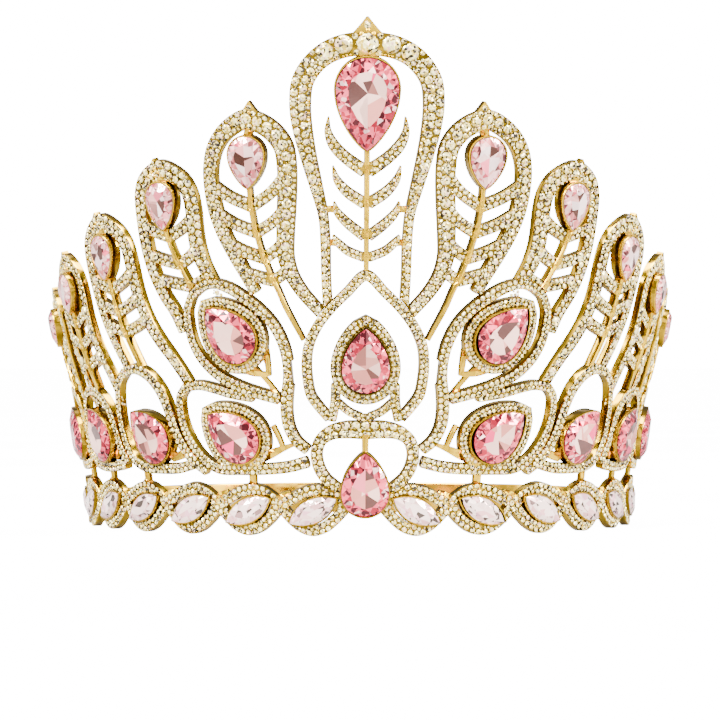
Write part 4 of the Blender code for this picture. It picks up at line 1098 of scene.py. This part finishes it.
blushTable = dict(cells=120.0, tilt=0.06, dark=(0.06, 0.018, 0.010), middle=(0.72, 0.32, 0.28),
                  light=(1.0, 0.74, 0.70), accent=(0.90, 0.18, 0.24), darkShare=0.16, lightFrom=0.42,
                  accentShare=0.06, metallic=0.70)
blushRing = dict(cells=520.0, tilt=0.24, dark=(0.10, 0.02, 0.02), middle=(0.70, 0.18, 0.17),
                 light=(1.0, 0.54, 0.50), accent=(0.85, 0.10, 0.16), darkShare=0.16, lightFrom=0.44,
                 accentShare=0.10, metallic=0.70)
paleTable = dict(cells=200.0, tilt=0.06, dark=(0.06, 0.04, 0.03), middle=(0.78, 0.40, 0.38),
                 light=(1.0, 0.74, 0.66), accent=(0.84, 0.42, 0.48), darkShare=0.08, lightFrom=0.28,
                 accentShare=0.12, metallic=0.45)
paleRing = dict(paleTable, cells=520.0, tilt=0.25, darkShare=0.16, lightFrom=0.38)
polish = {"Roughness": 0.05, "Coat Weight": 0.15, "Coat Roughness": 0.01}
white = (1.0, 1.0, 1.0, 1.0)
black = (0.0, 0.0, 0.0, 1.0)


def fill(node, values):
    for label, value in values.items():
        socket = node.inputs[label]
        socket.default_value = (*value, 1.0) if socket.type == "RGBA" and len(value) == 3 else value


def addNode(tree, kind, values=(), **options):
    # Node with its options, then the values of its sockets
    node = tree.nodes.new(kind)
    for option, value in options.items():
        setattr(node, option, value)
    fill(node, dict(values))
    return node


def wire(tree, *rows):
    # Links: a node, its output, the node it feeds and the input there
    for source, output, target, socket in rows:
        tree.links.new(source.outputs[output], target.inputs[socket])


def groupOf(name, inputs, outputs):
    # Empty shader group; the kind of an input follows from its value
    tree = bpy.data.node_groups.new(name, "ShaderNodeTree")
    for label, value in inputs.items():
        kind = "NodeSocketFloat" if isinstance(value, float) else "NodeSocketColor"
        tree.interface.new_socket(label, in_out="INPUT", socket_type=kind).default_value = value
    for label, kind in outputs.items():
        tree.interface.new_socket(label, in_out="OUTPUT", socket_type="NodeSocket" + kind)
    return tree, addNode(tree, "NodeGroupInput"), addNode(tree, "NodeGroupOutput")


def grainShadeGroup():
    # Soft unevenness of polished castings: colour, roughness and bump, with painted shade mixed into the colour by a
    # corner attribute
    takes = dict(light=white, deep=white, dark=black, smooth=0.1, rough=0.2, grain=900.0, bump=0.02)
    tree, given, out = groupOf("grainAndShade", takes, dict(Color="Color", Roughness="Float", Normal="Vector"))
    spot = addNode(tree, "ShaderNodeTexCoord")
    noise = addNode(tree, "ShaderNodeTexNoise", {"Detail": 3.0})
    mix = addNode(tree, "ShaderNodeMix", data_type="RGBA")
    spread = addNode(tree, "ShaderNodeMapRange", {"From Min": 0.3, "From Max": 0.7})
    bump = addNode(tree, "ShaderNodeBump", {"Distance": 0.0002})
    # Painted shade: a corner attribute mixes the colour towards the dark tone
    shadeAmount = addNode(tree, "ShaderNodeAttribute", attribute_name="paintedShade")
    shadeMix = addNode(tree, "ShaderNodeMix", data_type="RGBA")
    wire(tree, (spot, "Object", noise, "Vector"), (given, "grain", noise, "Scale"), (noise, "Fac", mix, "Factor"),
         (given, "deep", mix, "A"), (given, "light", mix, "B"), (noise, "Fac", spread, "Value"),
         (given, "smooth", spread, "To Min"), (given, "rough", spread, "To Max"), (noise, "Fac", bump, "Height"),
         (given, "bump", bump, "Strength"), (shadeAmount, "Fac", shadeMix, "Factor"), (mix, "Result", shadeMix, "A"),
         (given, "dark", shadeMix, "B"), (shadeMix, "Result", out, "Color"), (spread, "Result", out, "Roughness"),
         (bump, "Normal", out, "Normal"))
    return tree


def innerFacetsGroup():
    # Facets seen in a stone: cells with their own colour and tilt, shifted from facet to facet; the cell colours are
    # painted reflections and sparkle, and the girdle gets a painted dark edge
    takes = dict(cells=1500.0, tilt=0.4, dark=black, middle=white, light=white, accent=white, darkShare=0.2,
                 lightFrom=0.5, accentShare=0.1)
    tree, given, out = groupOf("innerFacets", takes, dict(Color="Color", Normal="Vector"))

    def reckon(operation, a, b, clamp=False):
        node = addNode(tree, "ShaderNodeMath", operation=operation, use_clamp=clamp)
        for socket, value in zip(node.inputs, (a, b)):
            if isinstance(value, float):
                socket.default_value = value
            else:
                tree.links.new(value, socket)
        return node.outputs["Value"]

    def above(value, limit, sharp):
        # None to full, over a short way above a limit
        return reckon("MULTIPLY", reckon("SUBTRACT", value, limit), sharp, True)

    def over(factor, below, top):
        mix = addNode(tree, "ShaderNodeMix", data_type="RGBA")
        for socket, source in (("Factor", factor), ("A", below), ("B", top)):
            tree.links.new(source, mix.inputs[socket])
        return mix.outputs["Result"]

    spot = addNode(tree, "ShaderNodeTexCoord")
    tone, rim = [addNode(tree, "ShaderNodeAttribute", attribute_name=name).outputs["Fac"] for name in ("tone", "rim")]
    shifted, centred, scaled, tipped, unit = [
        addNode(tree, "ShaderNodeVectorMath", operation=operation)
        for operation in ("ADD", "SUBTRACT", "SCALE", "ADD", "NORMALIZE")]
    fill(centred, {1: (0.5, 0.5, 0.5)})
    cells = addNode(tree, "ShaderNodeTexVoronoi")
    parts = addNode(tree, "ShaderNodeSeparateColor")
    surface = addNode(tree, "ShaderNodeNewGeometry")
    tree.links.new(reckon("MULTIPLY", tone, 3.0), shifted.inputs[1])
    wire(tree, (spot, "Object", shifted, 0), (shifted, "Vector", cells, "Vector"), (given, "cells", cells, "Scale"),
         (cells, "Color", parts, "Color"), (cells, "Color", centred, 0), (centred, "Vector", scaled, 0),
         (given, "tilt", scaled, "Scale"), (surface, "Normal", tipped, 0), (scaled, "Vector", tipped, 1),
         (tipped, "Vector", unit, 0), (unit, "Vector", out, "Normal"))
    red, green = parts.outputs["Red"], parts.outputs["Green"]
    # Painted reflections: dark cells, then middle, light and accent ones over them, then painted shade at the girdle
    # rim
    colour = given.outputs["dark"]
    rest = reckon("SUBTRACT", 1.0, given.outputs["accentShare"])
    for factor, label in ((above(red, given.outputs["darkShare"], 16.0), "middle"),
                          (above(red, given.outputs["lightFrom"], 8.0), "light"),
                          (above(green, rest, 30.0), "accent"), (above(rim, 0.62, 2.2), "dark")):
        colour = over(factor, colour, given.outputs[label])
    tree.links.new(colour, out.inputs["Color"])
    return tree


def newMaterial(name):
    mat = bpy.data.materials.new(name)
    mat.use_nodes = True
    return mat, mat.node_tree, mat.node_tree.nodes["Principled BSDF"]


def finishOf(name, group, look, plain=()):
    # Material whose colours and relief come from a shader group
    mat, tree, shader = newMaterial(name)
    effect = addNode(tree, "ShaderNodeGroup", node_tree=group)
    fill(effect, {label: value for label, value in look.items() if label != "metallic"})
    fill(shader, dict(plain, Metallic=look.get("metallic", 1.0)))
    for output in effect.outputs:
        tree.links.new(output, shader.inputs["Base Color" if output.name == "Color" else output.name])
    return mat


def linked(name, mesh):
    piece = bpy.data.objects.new(name, mesh)
    bpy.context.scene.collection.objects.link(piece)
    return piece


def newPiece(name, coords, faces, mats, indices=None):
    mesh = bpy.data.meshes.new(name)
    mesh.from_pydata([tuple(float(c) for c in v) for v in coords], [], [tuple(int(i) for i in f) for f in faces])
    mesh.update()
    for mat in mats:
        mesh.materials.append(mat)
    if indices is not None:
        mesh.polygons.foreach_set("material_index", indices)
    return linked(name, mesh)


def store(mesh, label, kind, domain, values):
    mesh.attributes.new(label, kind, domain).data.foreach_set("value", values)


def faceOutward(piece):
    form = bmesh.new()
    form.from_mesh(piece.data)
    bmesh.ops.recalc_face_normals(form, faces=form.faces)
    form.to_mesh(piece.data)
    form.free()


def polished(piece, sharp):
    piece.data.shade_smooth()
    piece.data.set_sharp_from_angle(angle=math.radians(sharp))


# Cuts of the small crystals: radius, height and shift of each ring, table first
smallRings = [(0.56, 0.36, 0.0), (1.0, 0.04, 0.5), (1.0, -0.06, 0.5), (0.0, -0.7, 0.0)]
largeRings = [(0.55, 0.38, 0.0), (0.80, 0.26, 0.5), (1.0, 0.04, 0.0), (1.0, -0.06, 0.0), (0.0, -0.7, 0.0)]


def brilliant(name, sides, rings):
    # Unit round crystal, table up, girdle at zero
    verts = [(radius * math.cos(a), radius * math.sin(a), height) for radius, height, shift in rings[:-1]
             for a in [2 * math.pi * (i + shift) / sides for i in range(sides)]]
    verts.append((0.0, 0.0, rings[-1][1]))
    faces = [tuple(range(sides))]
    for k in range(len(rings) - 2):
        shift = rings[k + 1][2] - rings[k][2]
        for i in range(sides):
            j = (i + 1) % sides
            a, b = k * sides + i, k * sides + j
            c, d = a + sides, b + sides
            if shift > 0:
                faces += [(a, c, b), (b, c, d)]
            else:
                faces += [(a, c, d), (a, d, b)] if shift < 0 else [(a, c, d, b)]
    last = (len(rings) - 2) * sides
    faces += [(last + (i + 1) % sides, last + i, len(verts) - 1) for i in range(sides)]
    piece = newPiece(name, verts, faces, [])
    # Girdle corners marked, for the painted dark edge of each crystal
    store(piece.data, "rim", "FLOAT", "POINT", [float(math.hypot(x, y) > 0.99) for x, y, z in verts])
    return piece


def settingTree(smallMat, largeMat, goldMat):
    # Cuts and grains put on the points of a casting
    tree = bpy.data.node_groups.new("setCrystals", "GeometryNodeTree")
    face = tree.interface
    face.new_socket("Geometry", in_out="INPUT", socket_type="NodeSocketGeometry")
    sockets = [face.new_socket(label, in_out="INPUT", socket_type="NodeSocket" + kind).identifier
               for label, kind in (("Small cut", "Object"), ("Large cut", "Object"), ("Crystal size", "Float"),
                                   ("Grain size", "Float"))]
    face.new_socket("Geometry", in_out="OUTPUT", socket_type="NodeSocketGeometry")
    given = addNode(tree, "NodeGroupInput")
    turn, size, kind = [addNode(tree, "GeometryNodeInputNamedAttribute", {"Name": name}, data_type=form)
                        for name, form in (("turn", "QUATERNION"), ("size", "FLOAT"), ("kind", "INT"))]
    join = addNode(tree, "GeometryNodeJoinGeometry")
    for index, (cut, levels, scale, mat) in enumerate((
            ("Small cut", 0, "Crystal size", smallMat), ("Large cut", 0, "Crystal size", largeMat),
            ("", 1, "Grain size", goldMat), ("", 2, "Grain size", goldMat))):
        if cut:
            shape = addNode(tree, "GeometryNodeObjectInfo", {"As Instance": True})
            wire(tree, (given, cut, shape, "Object"))
        else:
            shape = addNode(tree, "GeometryNodeMeshIcoSphere", {"Radius": 1.0, "Subdivisions": levels})
        pick = addNode(tree, "FunctionNodeCompare", data_type="INT", operation="EQUAL")
        fill(pick, {3: index})
        times = addNode(tree, "ShaderNodeMath", operation="MULTIPLY")
        put = addNode(tree, "GeometryNodeInstanceOnPoints")
        real = addNode(tree, "GeometryNodeRealizeInstances")
        shade = addNode(tree, "GeometryNodeSetShadeSmooth", {"Shade Smooth": not cut})
        colour = addNode(tree, "GeometryNodeSetMaterial", {"Material": mat})
        wire(tree, (kind, "Attribute", pick, 2), (size, "Attribute", times, 0), (given, scale, times, 1),
             (given, "Geometry", put, "Points"), (pick, "Result", put, "Selection"),
             (shape, "Geometry" if cut else "Mesh", put, "Instance"), (turn, "Attribute", put, "Rotation"),
             (times, "Value", put, "Scale"), (put, "Instances", real, "Geometry"),
             (real, "Geometry", shade, "Geometry"), (shade, "Geometry", colour, "Geometry"),
             (colour, "Geometry", join, "Geometry"))
    wire(tree, (join, "Geometry", addNode(tree, "NodeGroupOutput"), "Geometry"))
    return tree, sockets


def settingPiece(name, crystals, grains, tree, sockets, cuts):
    # Points with their turn, size and kind, made crystals and grains of metal
    rng = np.random.default_rng(setting["seed"] + len(crystals))
    rows = [(az, z, level - setting["sink"], size / 2, 1 if size >= setting["large"] else 0)
            for az, z, level, size in crystals]
    rows += [(az, z, level - 0.5 * radius, radius, 3 if radius > 0.3 else 2) for az, z, level, radius in grains]
    coords = []
    turns = []
    for az, z, level, radius, kind in rows:
        base, across, upward, normal = seatFrame(az, z, level)
        spin = rng.uniform(0, math.pi)
        tilt = np.radians(rng.uniform(-1, 1, 2) * setting["lean"]) if kind < 2 else np.zeros(2)
        matrix = Matrix((across, upward, normal)).transposed()
        for angle, axis in ((tilt[0], "X"), (tilt[1], "Y"), (spin, "Z")):
            matrix = matrix @ Matrix.Rotation(angle, 3, axis)
        coords.append(base)
        turns += list(matrix.to_quaternion())
    points = newPiece(name + "Points", coords, [], [])
    store(points.data, "turn", "QUATERNION", "POINT", turns)
    store(points.data, "size", "FLOAT", "POINT", [r[3] / 1000 for r in rows])
    store(points.data, "kind", "INT", "POINT", [r[4] for r in rows])
    modifier = points.modifiers.new("set", "NODES")
    modifier.node_group = tree
    for socket, value in zip(sockets, (*cuts, 1.0, 1.0)):
        modifier[socket] = value
    mesh = bpy.data.meshes.new_from_object(points.evaluated_get(bpy.context.evaluated_depsgraph_get()))
    mesh.name = name
    for label in ("turn", "size", "kind"):
        if label in mesh.attributes:
            mesh.attributes.remove(mesh.attributes[label])
    bpy.data.objects.remove(points)
    return linked(name, mesh)


# Back band: outer radius, thickness and height in mm, azimuth of its ends, rounding and its points
backBand = dict(outer=79.4, thick=1.4, high=9.6, start=99.2, stations=120, edge=0.3, corner=4, sharp=40)


def bandRing():
    # Plain band round the back: rounded edges, the ends square
    e = backBand["edge"]
    out = backBand["outer"] - e
    back = backBand["outer"] - backBand["thick"] + e
    up = backBand["high"] - e
    profile = [(cx + e * math.cos(a), cz + e * math.sin(a))
               for cx, cz, first in ((out, e, -90), (out, up, 0), (back, up, 90), (back, e, 180))
               for a in [math.radians(first + 30 * k) for k in range(backBand["corner"])]]
    count = len(profile)
    coords = []
    for i in range(backBand["stations"] + 1):
        a = math.radians(backBand["start"] + (360 - 2 * backBand["start"]) * i / backBand["stations"])
        shift = bulge(math.degrees(a)) - middle[0]
        coords += [((r * math.sin(a) + shift) / 1000, (-r * math.cos(a) - middle[1]) / 1000, z / 1000)
                   for r, z in profile]
    faces = [(a, b, b + count, a + count) for i in range(0, backBand["stations"] * count, count)
             for a, b in [(i + k, i + (k + 1) % count) for k in range(count)]]
    ends = [tuple(range(count))[::-1], tuple(backBand["stations"] * count + k for k in range(count))]
    return coords, faces + ends


grainShade = grainShadeGroup()
facetGroup = innerFacetsGroup()
goldCast = finishOf("goldCast", grainShade, gold)
goldBand = finishOf("goldBand", grainShade, bandGold)
clearCrystal = finishOf("clearCrystal", facetGroup, clear, polish)
clearCut = finishOf("clearCut", facetGroup, clearLarge, polish)
stoneMats = {}
for kind, table, facets in (("rose", roseTable, roseRing), ("blush", blushTable, blushRing),
                            ("pale", paleTable, paleRing)):
    stoneMats[kind] = [finishOf(kind + "Table", facetGroup, table, polish),
                       finishOf(kind + "Facets", facetGroup, facets, polish)]
print("finishes ready")

smallCut = brilliant("smallCut", 8, smallRings)
largeCut = brilliant("largeCut", 12, largeRings)
tree, sockets = settingTree(clearCrystal, clearCut, goldCast)

groups = castings()
crystalCount = 0
for i, (name, specs, side) in enumerate(groups):
    cutters = [s for other, otherSpecs, otherSide in groups[:i] if not side or not otherSide or side == otherSide
               for s in otherSpecs if s["kind"] != "floor"]
    coords, faces, shades, layers, cuts = dressCasting(specs, cutters)
    piece = newPiece(name + "_casting", coords, faces, [goldCast])
    store(piece.data, "paintedShade", "FLOAT", "CORNER", shades)
    polished(piece, metal["sharp"])
    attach(piece, "root")
    faceOutward(piece)
    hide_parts(name)
    crystals, grains = setCrystals(specs, layers, cuts)
    crystalPiece = settingPiece(name + "_crystals", crystals, grains, tree, sockets, (smallCut, largeCut))
    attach(crystalPiece, "root")
    crystalCount += len(crystals)
    print(name, len(faces), "faces,", len(crystals), "crystals,", len(grains), "grains")
print("crystals set:", crystalCount)
bpy.data.objects.remove(smallCut)
bpy.data.objects.remove(largeCut)

# Each wedge of a table and each facet has a tone, which shifts the painted reflection cells seen in it
toneSeed = 11
rng = np.random.default_rng(toneSeed)
for name, cut, at, seat, proportions, facets in stones():
    coords, faces = cutStone(cut, at, seat, proportions, facets * 4, facets)
    kind = "pale" if cut == "navette" else "blush" if "feather" in name else "rose"
    piece = newPiece(name + "_stone", coords, faces, stoneMats[kind], [0] * facets + [1] * (len(faces) - facets))
    tones = rng.uniform(0, 1, len(faces))
    tones[:facets] = np.repeat(rng.uniform(0, 1, facets), rng.integers(1, 4, facets))[:facets]
    store(piece.data, "tone", "FLOAT", "FACE", tones)
    faceOutward(piece)
    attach(piece, "root")
    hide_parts(name)
print("large stones cut")

coords, faces = bandRing()
piece = newPiece("back_band_ring", coords, faces, [goldBand])
polished(piece, backBand["sharp"])
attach(piece, "root")
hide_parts("back_band")
print("back band made")

# Table, light and camera
shot = dict(distance=1.0, height=0.048, turn=1.7, focal=3344.0, image=720.0, axis=(356.3, 363.3))
studio = dict(backdrop=17.0, floorLight=0.36, floorDark=0.10, floorPatches=7.0, floorGlow=15.0, bright=6.2,
              dark=1.05, behind=0.26, patches=2.6, softFrom=0.54, softTo=0.60, tableHalf=30, tableTop=-0.0002)
# Soft lights: place, size and power
panels = dict(
    softLeft=((-0.9, -0.8, 0.9), (0.6, 0.6), 90),
    softRight=((1.0, -0.5, 0.7), (0.4, 0.8), 60),
    softTop=((0.0, -0.15, 1.2), (1.0, 0.5), 70),
)


def lightPanel(name, spot, size, power):
    light = bpy.data.lights.new(name, "AREA")
    light.shape = "RECTANGLE"
    light.size, light.size_y = size
    light.energy = power
    panel = linked(name, light)
    panel.location = spot
    panel.rotation_euler = (Vector((0, 0, 0.06)) - Vector(spot)).to_track_quat("-Z", "Y").to_euler()


def spreadOf(tree, low, high, least, most):
    return addNode(tree, "ShaderNodeMapRange", {"From Min": low, "From Max": high, "To Min": least, "To Max": most})


def makeTable():
    # Pale table, glowing to the camera alone so that it runs into the backdrop
    half = studio["tableHalf"]
    corners = [(x * half, y * half, studio["tableTop"]) for x, y in ((-1, -1), (1, -1), (1, 1), (-1, 1))]
    table = newPiece("table", corners, [(0, 1, 2, 3)], [])
    mat, tree, shader = newMaterial("tablePaint")
    fill(shader, {"Roughness": 0.7, "Emission Color": white})
    spot = addNode(tree, "ShaderNodeTexCoord")
    noise = addNode(tree, "ShaderNodeTexNoise", {"Scale": studio["floorPatches"]})
    paint = spreadOf(tree, 0.42, 0.58, studio["floorDark"], studio["floorLight"])
    path = addNode(tree, "ShaderNodeLightPath")
    glow = addNode(tree, "ShaderNodeMath", operation="MULTIPLY")
    fill(glow, {1: studio["floorGlow"]})
    wire(tree, (spot, "Object", noise, "Vector"), (noise, "Fac", paint, "Value"),
         (paint, "Result", shader, "Base Color"), (path, "Is Camera Ray", glow, 0),
         (glow, "Value", shader, "Emission Strength"))
    table.data.materials.append(mat)


def makeWorld():
    # White to the camera; to the crown a bright studio with dark gaps, darker behind
    world = bpy.data.worlds.new("studio")
    bpy.context.scene.world = world
    world.use_nodes = True
    tree = world.node_tree
    back = tree.nodes["Background"]
    fill(back, {"Color": white})
    spot = addNode(tree, "ShaderNodeTexCoord")
    split = addNode(tree, "ShaderNodeSeparateXYZ")
    noise = addNode(tree, "ShaderNodeTexNoise", {"Scale": studio["patches"], "Detail": 0.0})
    ramp = spreadOf(tree, studio["softFrom"], studio["softTo"], studio["dark"], studio["bright"])
    rear = spreadOf(tree, 0.1, 0.7, 1.0, studio["behind"])
    times = addNode(tree, "ShaderNodeMath", operation="MULTIPLY")
    seen = addNode(tree, "ShaderNodeBackground", {"Color": white, "Strength": studio["backdrop"]})
    path = addNode(tree, "ShaderNodeLightPath")
    mix = addNode(tree, "ShaderNodeMixShader")
    wire(tree, (spot, "Generated", noise, "Vector"), (spot, "Generated", split, "Vector"),
         (noise, "Fac", ramp, "Value"), (split, "Y", rear, "Value"), (ramp, "Result", times, 0),
         (rear, "Result", times, 1), (times, "Value", back, "Strength"), (path, "Is Camera Ray", mix, "Fac"),
         (back, "Background", mix, 1), (seen, "Background", mix, 2),
         (mix, "Shader", tree.nodes["World Output"], "Surface"))


def makeCamera():
    image = shot["image"]
    camera = bpy.data.cameras.new("photoView")
    camera.sensor_width = 36.0
    camera.lens = shot["focal"] / image * 36.0
    camera.shift_x = (image / 2 - shot["axis"][0]) / image
    camera.shift_y = (shot["axis"][1] - image / 2) / image
    camera.clip_start = 0.05
    turn = math.radians(shot["turn"])
    seat = linked("photoView", camera)
    seat.location = (-shot["distance"] * math.sin(turn) - middle[0] / 1000,
                     -shot["distance"] * math.cos(turn) - middle[1] / 1000, shot["height"])
    seat.rotation_euler = (math.radians(90), 0, -turn)
    bpy.context.scene.camera = seat


makeTable()
makeWorld()
makeCamera()
for name, (spot, size, power) in panels.items():
    lightPanel(name, spot, size, power)
print("stage and camera ready")
